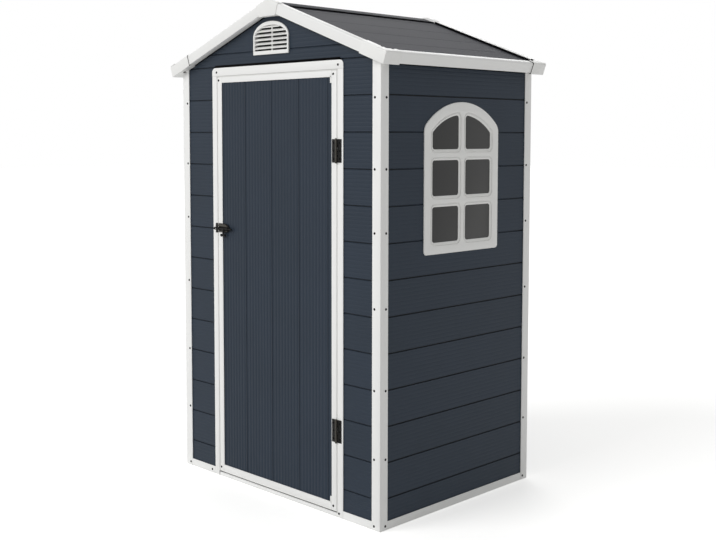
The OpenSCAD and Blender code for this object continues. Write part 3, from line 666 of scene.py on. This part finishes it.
# A rubber spacer stands between the left jamb's foot and the threshold.
SPACER = (0.0024, 0.001, 0.020)  # width, foot and top
SPACER_DEPTH = (-0.00025, 0.004)  # from the threshold's face
low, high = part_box("door_threshold")
mesh = prism([oblong(low[0] - SPACER[0] / 2, SPACER[1], low[0] + SPACER[0] / 2, SPACER[2])],
             low[1] + SPACER_DEPTH[0], low[1] + SPACER_DEPTH[1])
keep("threshold_spacer", mesh, "shed", black_rubber_and_shade)

# ------------ door leaf
# Upright ribbed boards in a four-piece frame with stepped moulded corners. The boards are the
# walls' polypropylene, the frame is extruded PVC, with a soft lip round it against draught.
LEAF_FRAME = ["door_stile_hinge", "door_stile_latch", "door_rail_top", "door_rail_bottom"]
CORNER_BLOCK = (0.008, 0.022)
CORNER_STEP = 0.005
CORNER_LAP = 0.003
CORNER_THICK = 0.0032
CORNER_EDGE = 0.0008
OFF_FACE = 0.00001  # keeps a cut off the rail's own face
LEAF_SCREWS = ((-0.3415, 1.6692), (0.3435, 1.6698), (-0.3415, 0.0391), (0.3435, 0.0394))
DOOR_BOARD = 0.1615
DOOR_SEAM = 0.176
DOOR_RIB_DEPTH = 0.0015
# The door's grooves take less painted shade.
DOOR_GROOVE = (0.004, 0.0020, 0.35)
LIP_REACH = 0.0036
LIP_TOP_REACH = 0.0043
LIP_FOOT_REACH = 0.0022
LIP_LAP = 0.0004
LIP_START = 0.0015
LIP_THICK = 0.0016
LIP_EDGE = 0.0005
WIPER_THICK = 0.0006
WIPER_LAP = 0.0002
WIPER_DROP = 0.0001

# Each rail has its moulded corner on the hinge side: a narrow block up or down the stile.
for node in LEAF_FRAME:
    low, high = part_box(node)
    mesh = bare(node)
    if "rail" in node:
        way = 1 if node == "door_rail_bottom" else -1
        edge = high[2] - CORNER_STEP if way > 0 else low[2] + CORNER_STEP
        foot, top = sorted((edge + way * OFF_FACE, edge + way * 2 * CLEAR))
        mesh = pierced(mesh, prism([oblong(low[0] - CLEAR, foot, high[0] + CLEAR, top)],
                                   low[1] - CLEAR, high[1] + CLEAR))
        foot, top = sorted((edge - way * CORNER_LAP, edge + way * CORNER_BLOCK[1]))
        block = prism([oblong(high[0] - CORNER_BLOCK[0], foot, high[0], top)],
                      low[1], low[1] + CORNER_THICK)
        mesh = together([rounded(mesh, FRAME_EDGE), rounded(block, CORNER_EDGE)])
    else:
        mesh = rounded(mesh, FRAME_EDGE)
    piece = keep(node + "_profile", mesh, "door", white_pvc)
    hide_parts(node)
screws("door_leaf_screws", "door", on_front(LEAF_SCREWS))

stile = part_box("door_stile_latch")
hinge_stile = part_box("door_stile_hinge")
leaf_west, leaf_east = stile[0][0], hinge_stile[1][0]
leaf_foot, leaf_top = stile[0][2], stile[1][2]
low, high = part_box("door_sheet")
mesh = boards(high[2] - low[2], low[0] - leaf_west, high[0] - leaf_west, high[1] - low[1],
              DOOR_SEAM, DOOR_BOARD, DOOR_RIB_DEPTH, groove=DOOR_GROOVE)
mesh.transform(Matrix.Translation((leaf_west, low[1], (low[2] + high[2]) / 2))
               @ Matrix.Rotation(math.radians(90), 4, "Y"))
piece = keep("door_boards", mesh, "door")
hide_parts("door_sheet")


def walled(work, loops):
    """Joins each loop of points to the next, and the last to the first."""
    for near, far in zip(loops, loops[1:] + loops[:1]):
        for k in range(len(near)):
            j = (k + 1) % len(near)
            work.faces.new((near[k], near[j], far[j], far[k]))


def ring(outer, inner, near, far):
    """A flat frame between two rectangles (west, foot, east, top) and two depths."""
    work = opened()
    walled(work, [[work.verts.new((x, y, z)) for x, z in oblong(*sides)]
                  for sides, y in ((outer, near), (inner, near), (inner, far), (outer, far))])
    return closed(work, outwards=True)


# Soft PVC, extruded: the frame's white a shade greyer, matt.
soft_pvc = mottled("soft_white_pvc_lip", (60.0, 2.0), ("DADAD6", "E2E2DF"), 0.6, IOR=1.53)
lip_near = stile[0][1] + LIP_START
mesh = ring((leaf_west - LIP_REACH, leaf_foot - LIP_FOOT_REACH, leaf_east + LIP_REACH,
             leaf_top + LIP_TOP_REACH),
            (leaf_west - LIP_LAP, leaf_foot - LIP_LAP, leaf_east + LIP_LAP,
             leaf_top + LIP_LAP), lip_near, lip_near + LIP_THICK)
keep("door_draught_lip", rounded(mesh, LIP_EDGE), "door", soft_pvc)
# A black rubber wiper hangs in front of the lip's foot, over the threshold.
mesh = prism([oblong(leaf_west, leaf_foot - LIP_FOOT_REACH - WIPER_DROP, leaf_east,
                     leaf_foot - WIPER_DROP)],
             lip_near - WIPER_THICK, lip_near + WIPER_LAP)
keep("door_foot_wiper", mesh, "door", black_rubber_and_shade)

# ------------ hinges
# Two butt hinges: a plate on the jamb and one on the stile round a pin with three knuckles and a
# flat head at each end. Pressed steel, powder-coated black, the coat rubbed thin on the knuckles
# and painted paler there as a highlight, held by three countersunk screws a plate.
HINGE_EDGE = 0.0008
HINGE_SCREWS = (-0.030, 0.0, 0.030)
HINGE_SCREW_REACH = 0.0165
HINGE_HEIGHTS = (0.332, 1.386)
HINGE_FACE = -0.002
COUNTERSUNK_HEAD = 0.0075
KNUCKLE = 0.0045
KNUCKLE_REACH = KNUCKLE + 0.0002
PIN_HEAD = (0.0037, 0.0030)  # radius and height
PIN_END = 0.0433  # from the hinge's middle
PRESSED_EDGE = 0.0006
PIN_X, PIN_Y = (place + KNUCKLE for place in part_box("hinge_jamb_plates")[0][:2])

# Powder-coated steel: black with a soft sheen, a fine orange peel drawn at 2 mm so that it
# shows, and patches where the coat is thinner and a little browner.
black_steel = mottled("black_powder_coated_steel", (45.0, 3.0), ("08090A", "131211"), 0.55,
                      (0.002, 0.3, 0.0002), IOR=1.5, Specular_IOR_Level=0.15)

# The same steel where the coat has rubbed thin: the brown of the metal shows through, painted
# paler as a highlight too.
rubbed_highlit_steel = mottled("rubbed_black_steel", (120.0, 3.0), ("302E29", "403D36"),
                       (0.35, 0.5), IOR=1.5, Specular_IOR_Level=0.3)


def rod(radius, length, place):
    """A closed cylinder along its own Z axis, put in its place."""
    work = opened()
    bmesh.ops.create_cone(work, cap_ends=True, segments=32, radius1=radius, radius2=radius,
                          depth=length, matrix=place)
    return closed(work)


for node, body, way in (("hinge_jamb_plates", "shed", 1), ("hinge_door_plates", "door", -1)):
    mesh = eased(node, HINGE_EDGE)
    mesh.materials.clear()
    for material in (black_steel, rubbed_highlit_steel):
        mesh.materials.append(material)
    # Faces round the pin take the paler steel: rubbed coat and a painted highlight on the
    # knuckles.
    for face in mesh.polygons:
        from_pin = math.hypot(face.center.x - PIN_X, face.center.y - PIN_Y)
        face.material_index = int(from_pin < KNUCKLE_REACH)
    piece = keep(node + "_pressed", mesh, body)
    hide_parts(node)
    screws(node + "_screws", body,
           on_front([(PIN_X + way * HINGE_SCREW_REACH, z + lift) for z in HINGE_HEIGHTS
                     for lift in HINGE_SCREWS], HINGE_FACE), COUNTERSUNK_HEAD)

# The pins' heads are in the paler steel: rubbed coat and a painted highlight.
radius, height = PIN_HEAD
heads = [rounded(rod(radius, height, Matrix.Translation(
    (PIN_X, PIN_Y, z + way * (PIN_END + height / 2)))), PRESSED_EDGE)
    for z in HINGE_HEIGHTS for way in (-1, 1)]
keep("hinge_pin_heads", together(heads), "shed", rubbed_highlit_steel)

# ------------ latch
# A barrel bolt: a plate that tapers away from the jamb, with two guide loops and a pressed rail
# above and below the bolt, a keeper on the jamb, and the bolt with a drop knob. Pressed steel,
# powder-coated black, rubbed on the rails, which are painted paler as a highlight.
LATCH_Z = 1.055
BOLT = 0.004
LATCH_PLATE = [(0.003, -0.016), (0.046, -0.016), (0.064, -0.013), (0.075, -0.001),
               (0.064, 0.015), (0.050, 0.021), (0.003, 0.022)]
KEEPER_PLATE = oblong(-0.017, -0.018, -0.004, 0.022)
PLATE_THICK = 0.002
LATCH_RAILS = [[(0.0045, 0.0090), (0.0630, 0.0075), (0.0600, 0.0130), (0.0460, 0.0180),
                (0.0045, 0.0190)],
               [(0.0045, -0.0145), (0.0460, -0.0145), (0.0600, -0.0115), (0.0630, -0.0075),
                (0.0045, -0.0085)]]
RAIL_DEPTHS = (-0.0055, -0.0015)
RAIL_ROUND = 0.0016
LATCH_LOOPS = ((0.004, 0.013), (0.064, 0.072))
KEEPER_LOOP = (-0.0165, -0.0045)
LOOP_ROOM = 0.0004  # round the bolt
LOOP_WALL = 0.0015
LOOP_EDGE = 0.0004
BOLT_EDGE = 0.0008
STEM = (0.0410, -0.0250, 0.0485, 0.001)  # west, foot, east, top
STEM_DEPTHS = (-0.0055, -0.001)  # from the bolt's middle
STEM_EDGE = 0.001
KNOB_ENDS = (0.0260, 0.0560)
KNOB_RADIUS = 0.0058
KNOB_FLATTENED = 0.8
KNOB_SPOT = (-0.001, -0.0265)  # depth from the bolt's middle, and height
KNOB_ROUND = 0.0018

low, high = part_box("latch_bolt")
bolt_y = high[1] + HALF_D - BOLT
at = front @ Matrix.Translation((leaf_west, 0, LATCH_Z))
along = Matrix.Rotation(math.radians(90), 4, "Y")


def loop(start, end):
    """A strap bent over the bolt, between two places along it."""
    inner, outer = BOLT + LOOP_ROOM, BOLT + LOOP_ROOM + LOOP_WALL
    arc = [math.pi * (k / 12 - 0.5) for k in range(13)]
    outline = [(0, -outer)] + [(-bolt_y + outer * math.cos(a), outer * math.sin(a)) for a in arc]
    outline += [(0, outer), (0, inner)]
    outline += [(-bolt_y + inner * math.cos(a), inner * math.sin(a)) for a in reversed(arc)]
    mesh = prism([outline + [(0, -inner)]], start, end)
    mesh.transform(Matrix.Rotation(math.radians(-90), 4, "Z"))
    return rounded(mesh, LOOP_EDGE)


for node, body, outline, loops in (
        ("latch_plate", "door", LATCH_PLATE, LATCH_LOOPS),
        ("latch_keeper", "shed", KEEPER_PLATE, (KEEPER_LOOP,))):
    meshes = [rounded(prism([outline], -PLATE_THICK, 0), PRESSED_EDGE)]
    meshes += [loop(start, end) for start, end in loops]
    piece = keep(node + "_pressed", together(meshes, at), body, black_steel)
    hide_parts(node)
# The rails are in the paler steel: rubbed coat and a painted highlight.
rails = [rounded(prism([outline], *RAIL_DEPTHS), RAIL_ROUND, 3) for outline in LATCH_RAILS]
keep("latch_plate_rails", together(rails, at), "door", rubbed_highlit_steel)

# The bolt is drawn back along its guides, its knob hanging clear below the plate.
start, end = KNOB_ENDS
knob = rod(KNOB_RADIUS, end - start,
           Matrix.Translation(((start + end) / 2, bolt_y + KNOB_SPOT[0], KNOB_SPOT[1]))
           @ Matrix.Diagonal((1, KNOB_FLATTENED, 1, 1)) @ along)
stem = prism([oblong(*STEM)], bolt_y + STEM_DEPTHS[0], bolt_y + STEM_DEPTHS[1])
bar = rod(BOLT, high[0] - low[0],
          Matrix.Translation(((low[0] + high[0]) / 2 - leaf_west, bolt_y, 0)) @ along)
piece = keep("latch_bolt_pressed", together([rounded(bar, BOLT_EDGE), rounded(stem, STEM_EDGE),
                                             rounded(knob, KNOB_ROUND, 3)], at),
             "bolt", black_steel)
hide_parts("latch_bolt")

# ------------ window
# An arched surround in two halves, clipped together through the wall round one smoked sheet.
# Injection-moulded ASA, white; round each pane runs a raised bead with a fine groove outside.
WINDOW_W = 0.444
WINDOW_SIDES = 0.480
WINDOW_RISE = 0.096
ARCH_R = (WINDOW_RISE ** 2 + WINDOW_W ** 2 / 4) / (2 * WINDOW_RISE)
ARCH_Z = WINDOW_SIDES + WINDOW_RISE - ARCH_R
WINDOW_BORDER = 0.049
PANE_FOOT = 0.044
MULLION = 0.042
PANE_W = (WINDOW_W - 2 * WINDOW_BORDER - MULLION) / 2
PANE_H = 0.135
TRANSOM = 0.041
PANE_ROUND = 0.0115
SHOULDER_ROUND = 0.046
FOOT_ROUND = 0.014
BEAD = 0.0078
BEAD_SOFT = 0.0006
BEAD_CREST = 0.0014
BEAD_HEEL = (0.0006, 0.0005, 0.0002)  # width, and how far it rises on its two sides
BEAD_GROOVE = 0.0042
BEAD_GROOVE_DEPTH = 0.0035
TRIM_EDGE = 0.0022
INNER_TRIM_EDGE = 0.0012
FINE_EDGE = 0.0003
WALL_FACE = 0.0035  # the wall's outer sheet, behind the posts' faces


def corner(centre, radius, start, end, steps=8):
    """Points of a corner's arc, its angles in degrees."""
    return [(centre[0] + radius * math.cos(math.radians(a)),
             centre[1] + radius * math.sin(math.radians(a)))
            for a in (start + (end - start) * k / steps for k in range(steps + 1))]


def under_arch(west, foot, east, arch, foot_round, top_round, steps=40):
    """Outline with level foot, upright sides and a top under an arch round the window's axis."""
    points = corner((west + foot_round, foot + foot_round), foot_round, 180, 270)
    points += corner((east - foot_round, foot + foot_round), foot_round, 270, 360)
    ends = []
    for x in (east - top_round, west + top_round):
        z = ARCH_Z + math.sqrt((arch - top_round) ** 2 - x * x)
        lean = math.degrees(math.atan2(z - ARCH_Z, x))
        ends.append(((x, z), lean))
    (right, right_lean), (left, left_lean) = ends
    points += corner(right, top_round, 0, right_lean)
    points += corner((0, ARCH_Z), arch, right_lean, left_lean, steps)[1:-1]
    points += corner(left, top_round, left_lean, 180)
    return points


def square_pane(west, foot, east, top, radius):
    """Outline of a pane with rounded corners."""
    points = []
    for x, z, start in ((west, foot, 180), (east, foot, 270), (east, top, 0), (west, top, 90)):
        inset = (x + radius if x == west else x - radius,
                 z + radius if z == foot else z - radius)
        points += corner(inset, radius, start, start + 90)
    return points


def pane_outlines(grow):
    """The six panes, grown all round."""
    outlines = []
    for way in (-1, 1):
        west, east = sorted((way * (MULLION / 2 - grow), way * (MULLION / 2 + PANE_W + grow)))
        for row in (0, 1):
            foot = PANE_FOOT + row * (PANE_H + TRANSOM)
            outlines.append(square_pane(west, foot - grow, east, foot + PANE_H + grow,
                                        PANE_ROUND + grow))
        foot = PANE_FOOT + 2 * (PANE_H + TRANSOM)
        outlines.append(under_arch(west, foot - grow, east, ARCH_R - WINDOW_BORDER + grow,
                                   PANE_ROUND + grow, PANE_ROUND + grow, 16))
    return outlines


def plate(outlines, near, far, edge):
    """A flat plate between two depths of a side, its edges rounded; inner outlines are holes."""
    curve = bpy.data.curves.new("plate", "CURVE")
    curve.dimensions = "2D"
    curve.fill_mode = "BOTH"
    curve.extrude = (far - near) / 2 - edge
    curve.bevel_depth = edge
    curve.bevel_resolution = 2
    curve.offset = -edge
    for outline in outlines:
        spline = curve.splines.new("POLY")
        spline.points.add(len(outline) - 1)
        spline.points.foreach_set("co", [c for x, z in outline for c in (x, z, 0, 1)])
        spline.use_cyclic_u = True
    mesh = settled(linked("work", curve))
    work = opened(mesh)
    bmesh.ops.remove_doubles(work, verts=work.verts, dist=1e-6)
    mesh = closed(work, mesh, outwards=True)
    mesh.transform(Matrix.Translation((0, (near + far) / 2, 0))
                   @ Matrix.Rotation(math.radians(90), 4, "X"))
    return mesh


def beads(profile):
    """A bead round every pane. Its profile is closed: how far out from the pane, and depth."""
    work = opened()
    for rings in zip(*(pane_outlines(grow) for grow, depth in profile)):
        walled(work, [[work.verts.new((x, depth, z)) for x, z in outline]
                      for outline, (grow, depth) in zip(rings, profile)])
    return closed(work, outwards=True)


# Moulded ASA: a slightly warmer and glossier white than the frame, its mould grain drawn at
# 2 mm so that it shows.
white_asa = mottled("white_asa_moulded", (11.0, 3.0), ("E9E9E7", "EFEFED"), 0.4,
                    (0.002, 0.15, 0.0002), IOR=1.52)

# Smoked polycarbonate: a dark sheet with a satin face, all but opaque.
smoked_sheet = mottled("smoked_polycarbonate_sheet", (3.0, 2.0), ("313131", "353534"),
                       (0.42, 0.5), IOR=1.585, Specular_IOR_Level=0.22)

# The trim lies on the wall's outer sheet, its face just proud of the sheet's grooves. Inside
# each bead the plastic slopes down to the glass, which is nearly flush with the wall.
trim_face = HALF_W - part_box("window_trim_outer")[1][0]
at = side(1) @ Matrix.Translation((WINDOW_SHIFT, 0, WINDOW_FOOT))
outer = under_arch(-WINDOW_W / 2, 0, WINDOW_W / 2, ARCH_R, FOOT_ROUND, SHOULDER_ROUND)
heel, inner_rise, outer_rise = BEAD_HEEL
shells = [plate([outer] + pane_outlines(BEAD + BEAD_GROOVE), trim_face, WALL_FACE, TRIM_EDGE),
          plate([outer] + pane_outlines(BEAD / 2), trim_face + BEAD_GROOVE_DEPTH, WALL_FACE,
                FINE_EDGE),
          beads([(BEAD, WALL_FACE), (BEAD, trim_face + 2 * BEAD_SOFT),
                 (BEAD - 0.3 * BEAD_SOFT, trim_face + BEAD_SOFT),
                 (BEAD - BEAD_SOFT, trim_face + 0.3 * BEAD_SOFT),
                 (BEAD - BEAD_CREST, trim_face + 0.3 * BEAD_SOFT),
                 (BEAD - 1.6 * BEAD_CREST, trim_face + BEAD_SOFT),
                 (heel, WALL_FACE - inner_rise), (0, WALL_FACE - outer_rise),
                 (0, WALL_FACE)])]
piece = keep("window_surround", together(shells, at), "shed", white_asa)
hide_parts("window_trim_outer")
piece = keep("window_inner_surround", eased("window_trim_inner", INNER_TRIM_EDGE), "shed",
             white_asa)
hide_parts("window_trim_inner")
piece = keep("window_smoked_sheet", eased("window_glazing", FINE_EDGE), "shed",
             smoked_sheet)
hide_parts("window_glazing")

# ------------ gable vents
# A moulded grille in each gable: a half-oval rim, six tilted louvres, and an upright bar that
# ties them behind their fronts. The same white ASA as the window, clipped into its cut-out.
VENT_PROUD = 0.007
VENT_RIM = 0.015
VENT_SIDE_RIM = 0.008
VENT_EDGE = 0.0018
VENT_LAP = 0.002  # how far the bar and the louvres run under the rim
COLLAR_DEPTH = 0.003
VENT_BAR = 0.007
VENT_BAR_BACK = 0.008
VENT_BAR_THICK = 0.004
VENT_BAR_EDGE = 0.001
LOUVRES = 6
LOUVRE_PITCH = 0.0164
LOUVRE_FOOT = 0.0225
LOUVRE_DEPTH = 0.0168
LOUVRE_THICK = 0.0026
LOUVRE_EDGE = 0.0006
LOUVRE_BACK = 0.0012
LOUVRE_TILT = math.radians(36)

# Louvres on an upright line, each as wide as the oval at its height.
LOUVRE_SIZES = ("Foot", "Pitch", "Half Width", "Sides", "Rise", "Depth", "Thickness", "Tilt")
louvres, given = new_tree("louvres", LOUVRE_SIZES, ("Count",))
tree = louvres
first = add(tree, "ShaderNodeCombineXYZ", Z=(given, "Foot"))
step = add(tree, "ShaderNodeCombineXYZ", Z=(given, "Pitch"))
line = add(tree, "GeometryNodeMeshLine", Count=(given, "Count"), Start_Location=(first, 0),
           Offset=(step, 0))
spot = add(tree, "GeometryNodeInputPosition")
spot = add(tree, "ShaderNodeSeparateXYZ", Vector=(spot, 0))
value = {label: (given, label) for label in LOUVRE_SIZES}
value["height"] = (spot, "Z")
for name, operation, *terms in (
        ("over", "SUBTRACT", "height", "Sides"),
        ("over", "DIVIDE", "over", "Rise"),
        ("over", "MAXIMUM", "over", 0.0),
        ("over", "MULTIPLY", "over", "over"),
        ("wide", "SUBTRACT", 1.0, "over"),
        ("wide", "MAXIMUM", "wide", 0.02),  # the crown's louvre keeps some width
        ("wide", "SQRT", "wide"),
        ("wide", "MULTIPLY", "wide", "Half Width"),
        ("wide", "MULTIPLY", "wide", 2.0)):
    sums = {f"i{k}": value.get(term, term) for k, term in enumerate(terms)}
    value[name] = (add(tree, "ShaderNodeMath", {"operation": operation}, **sums), 0)
slat_size = add(tree, "ShaderNodeCombineXYZ", X=1.0, Y=(given, "Depth"), Z=(given, "Thickness"))
slat = add(tree, "GeometryNodeMeshCube", Size=(slat_size, 0))
lean = add(tree, "ShaderNodeCombineXYZ", X=(given, "Tilt"))
slat = add(tree, "GeometryNodeTransform", Geometry=(slat, "Mesh"), Rotation=(lean, 0))
stretch = add(tree, "ShaderNodeCombineXYZ", X=value["wide"], Y=1.0, Z=1.0)
slats = add(tree, "GeometryNodeInstanceOnPoints", Points=(line, 0), Instance=(slat, 0),
            Scale=(stretch, 0))
end_tree(tree, given, slats)

for node, n in (("front_vent", 0), ("rear_vent", 2)):
    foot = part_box(node)[0][2]
    at = side(n) @ Matrix.Translation((VENT_SHIFT, 0, foot))
    vent_face = WALL_FACE - VENT_PROUD
    opening = vent_outline(VENT_RIM, VENT_SIDE_RIM)
    rim = plate([vent_outline(0), opening], vent_face, WALL_FACE, VENT_EDGE)
    collar = plate([vent_outline(OPENING_INSET + FINE_EDGE), opening],
                   WALL_FACE - COLLAR_DEPTH, WALL_FACE + COLLAR_DEPTH, FINE_EDGE)
    bar_face = vent_face + VENT_BAR_BACK
    bar = plate([oblong(-VENT_BAR / 2, VENT_RIM - VENT_LAP, VENT_BAR / 2,
                        VENT_SIDES + VENT_RISE - VENT_RIM + VENT_LAP)],
                bar_face, bar_face + VENT_BAR_THICK, VENT_BAR_EDGE)
    slats = grown(louvres, bpy.data.meshes.new("base"), Count=LOUVRES,
                  Foot=LOUVRE_FOOT + LOUVRE_DEPTH / 2 * math.sin(LOUVRE_TILT),
                  Pitch=LOUVRE_PITCH, Half_Width=VENT_W / 2 - VENT_SIDE_RIM + VENT_LAP,
                  Sides=VENT_SIDES, Rise=VENT_RISE - VENT_RIM + VENT_LAP, Depth=LOUVRE_DEPTH,
                  Thickness=LOUVRE_THICK, Tilt=LOUVRE_TILT, Material=white_asa)
    slats.transform(Matrix.Translation(
        (0, vent_face + LOUVRE_BACK + LOUVRE_DEPTH / 2 * math.cos(LOUVRE_TILT), 0)))
    slats = rounded(slats, LOUVRE_EDGE)
    piece = keep(node + "_grille", together([rim, collar, bar, slats], at), "shed",
                 white_asa)
    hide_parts(node)

# ------------ roof boards
# Two slopes of the same twin-wall boards, their seams level, with a folded cover over the
# ridge. Blow-moulded polypropylene in a paler, neutral grey.
ROOF_SEAM = 0.110
ROOF_TOP = 0.0105
ROOF_THICK = 0.016
ROOF_REACH = (-0.016, 0.6770)  # down the slope; what lies past the ridge is cut off
ROOF_RIB_DEPTH = 0.0002
ROOF_GROOVE = (0.004, 0.0006, 0.0)
RIDGE_GAP = 0.00015
RIDGE_EDGE = 0.001

# Moulded polypropylene, mid grey: matt, faintly mottled, with a coarse grain drawn at 4 mm.
grey_board = board_plastic("grey_polypropylene_roof", 6.0, ("2E2F35", "34353B"), 0.68,
                           (0.004, 0.25, 0.0003), Specular_IOR_Level=0.2)
# From a sheet's own axes to a slope's: down it, along the ridge, and out of its face.
lying = Matrix(((0, 0, 1, 0), (-1, 0, 0, 0), (0, -1, 0, 0), (0, 0, 0, 1)))

for node, way in (("roof_panel_right", 1), ("roof_panel_left", -1)):
    low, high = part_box(node)
    mesh = boards(high[1] - low[1], *ROOF_REACH, ROOF_THICK, ROOF_SEAM, rib=ROOF_RIB_DEPTH,
                  material=grey_board, groove=ROOF_GROOVE)
    turn = Matrix.Rotation(0 if way > 0 else math.pi, 4, "Z")
    mesh.transform(turn @ Matrix.Translation((0, 0, RIDGE)) @ Matrix.Rotation(PITCH, 4, "Y")
                   @ Matrix.Translation((0, 0, -ROOF_TOP)) @ lying)
    mesh = trimmed(mesh, Vector((way * RIDGE_GAP, 0, 0)), Vector((-way, 0, 0)))
    piece = keep(node + "_boards", mesh, "shed")
    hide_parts(node)
cover = keep("ridge_cover_folded", eased("ridge_cover", RIDGE_EDGE, angle=30), "shed",
             grey_board)
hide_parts("ridge_cover")

# ------------ roof shade strips
# Black strips of painted shade in the gaps where the roof boards run under the ridge cover and
# into the trims. They lie on the boards, pressed against the cover's edges and the trims' lips,
# and on the tops of the walls, just under the trims, where they paint the shadow gap.
RIDGE_STRIP = ((0.057, 0.0655), (0.0056, 0.0105))  # down the slope, and below the trims' top
LIP_STRIP = (0.0012, 0.0105)
LIP_STRIP_THICK = 0.0015
LIP_DOWN = 0.6510
PEAK_END = 0.0702
WALL_STRIP = (0.0005, 0.00025)  # into the boards and proud of them
# The strip under the right slope's barge reaches lower, for a wider painted shadow line there.
BARGE_STRIP = {-1: (0.0415, 0.0480), 1: (0.0415, 0.0520)}
BARGE_STRIP_RUN = (0.018, 0.598)
EAVE_STRIP = (1.6972, 1.7115)
CAP_STRIP = 0.0012
LEG_STRIP = (0.0008, 0.0035)  # its length, and how much of the leg's face it follows
CAP_LEG_START = 0.5557
LIP_PLUG = (0.0095, 0.0065, (-0.0024, 0.0105))  # length, width, depths below the trims' top
PLUG_LAP = 0.0006
PLUG_DOWN, PLUG_ALONG = 0.6300, 0.4160
ENDS = [(way, end) for way in (-1, 1) for end in (-1, 1)]  # slope, and front or rear
lip_y = -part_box("front_barge_right")[1][1]


def on_slope(way, down, along, depth):
    """Corners of a bar that lies in a slope: ranges down it, along the ridge and below its top."""
    return [(way * (u * math.cos(PITCH) - d * math.sin(PITCH)), y,
             RIDGE - u * math.sin(PITCH) - d * math.cos(PITCH))
            for u in down for y in along for d in depth]


def painted_shade_strips(name, corners):
    """Black strips of painted shade as one piece, each from the eight corners of its box."""
    work = opened()
    for eight in corners:
        v = [work.verts.new(c) for c in eight]
        for face in ((0, 1, 3, 2), (4, 6, 7, 5), (0, 4, 5, 1), (2, 3, 7, 6), (0, 2, 6, 4),
                     (1, 5, 7, 3)):
            work.faces.new([v[k] for k in face])
    keep(name, closed(work, outwards=True), "shed", black_rubber_and_shade)


strips = []
for way in (-1, 1):
    strips.append(on_slope(way, RIDGE_STRIP[0], (-lip_y, lip_y), RIDGE_STRIP[1]))
    strips.append(on_slope(way, (LIP_DOWN - LIP_STRIP_THICK, LIP_DOWN), (-lip_y, lip_y),
                           LIP_STRIP))
# Small black plugs paint the shade in the notches where the corner caps' lips fold round the
# corners.
length, width, depths = LIP_PLUG
for way, end in ENDS:
    strips.append(on_slope(way, (PEAK_END, LIP_DOWN),
                           (end * (lip_y - LIP_STRIP_THICK), end * lip_y), LIP_STRIP))
    strips.append(on_slope(way, (PLUG_DOWN - length / 2, PLUG_DOWN + length / 2),
                           (end * (lip_y - PLUG_LAP), end * (lip_y + width)), depths))
    strips.append(on_slope(way, (LIP_DOWN - PLUG_LAP, LIP_DOWN + width),
                           (end * (PLUG_ALONG - length / 2), end * (PLUG_ALONG + length / 2)),
                           depths))
painted_shade_strips("roof_gaskets", strips)

# Strips of painted shade on the walls' tops, just under the barges and eaves, where the shadow gap
# lies.
sunk, proud = WALL_STRIP
gable_face = -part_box("front_gable")[0][1]
side_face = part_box("right_wall")[1][0]
post_end = -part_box("corner_post_front_right")[1][1]
strips = [on_slope(way, BARGE_STRIP_RUN, (end * (gable_face - sunk), end * (gable_face + proud)),
                   BARGE_STRIP[way]) for way, end in ENDS]
strips += [[(way * x, y, z) for x in (side_face - sunk, side_face + proud)
            for y in (-post_end, post_end) for z in EAVE_STRIP] for way in (-1, 1)]
painted_shade_strips("wall_top_gaskets", strips)
# Thin black strips of painted shade at the ends of some caps, cut to the caps' own section.
cap_start = Vector((0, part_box("corner_cap_rear_right")[0][1], 0))
leg_start = Vector(on_slope(-1, (CAP_LEG_START,), (0,), (0,))[0])
inwards, down_left = Vector((0, 1, 0)), Vector((-math.cos(PITCH), 0, -math.sin(PITCH)))
for node, start, away, strip in (
        ("corner_cap_rear_right", cap_start, inwards, CAP_STRIP),
        ("corner_cap_rear_left", cap_start, inwards, CAP_STRIP),
        ("corner_cap_front_left", leg_start, down_left, LEG_STRIP[0])):
    mesh = trimmed(bare(node), start + away * strip, away)
    mesh.transform(Matrix.Translation(away * -strip))
    if away == down_left:
        mesh = trimmed(mesh, Vector((0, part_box(node)[0][1] + LEG_STRIP[1], 0)), inwards)
    keep(node + "_gasket", mesh, "shed", black_rubber_and_shade)

# ------------ roof trim
# Channel trims that grip the edges of the roof boards, with moulded caps over the joints at
# the corners and the ridge. Trims are extruded PVC, caps are moulded ASA.
TRIMS = ["front_barge_right", "front_barge_left", "rear_barge_right", "rear_barge_left",
         "eave_trim_right", "eave_trim_left"]
CAPS = ["corner_cap_front_right", "corner_cap_front_left", "corner_cap_rear_right",
        "corner_cap_rear_left", "peak_cap_front", "peak_cap_rear"]
ROOF_TRIM_EDGE = 0.0010
CAP_EDGE = 0.0009
dressed(TRIMS, "_profile", ROOF_TRIM_EDGE, white_pvc)
dressed(CAPS, "_moulding", CAP_EDGE, white_asa)

# A screw through the foot of each corner cap, from below.
CAP_SCREW_HEAD = 0.0125
CAP_SCREW = (0.6229, 0.4555, 0.0470)  # down the slope, along the ridge, below the trims' top
down, out, below = CAP_SCREW
screws("corner_cap_screws", "shed",
       [(Vector(on_slope(way, (down,), (end * out,), (below,))[0]),
         Vector((-way * math.sin(PITCH), 0, -math.cos(PITCH))))
        for way, end in ENDS], CAP_SCREW_HEAD)
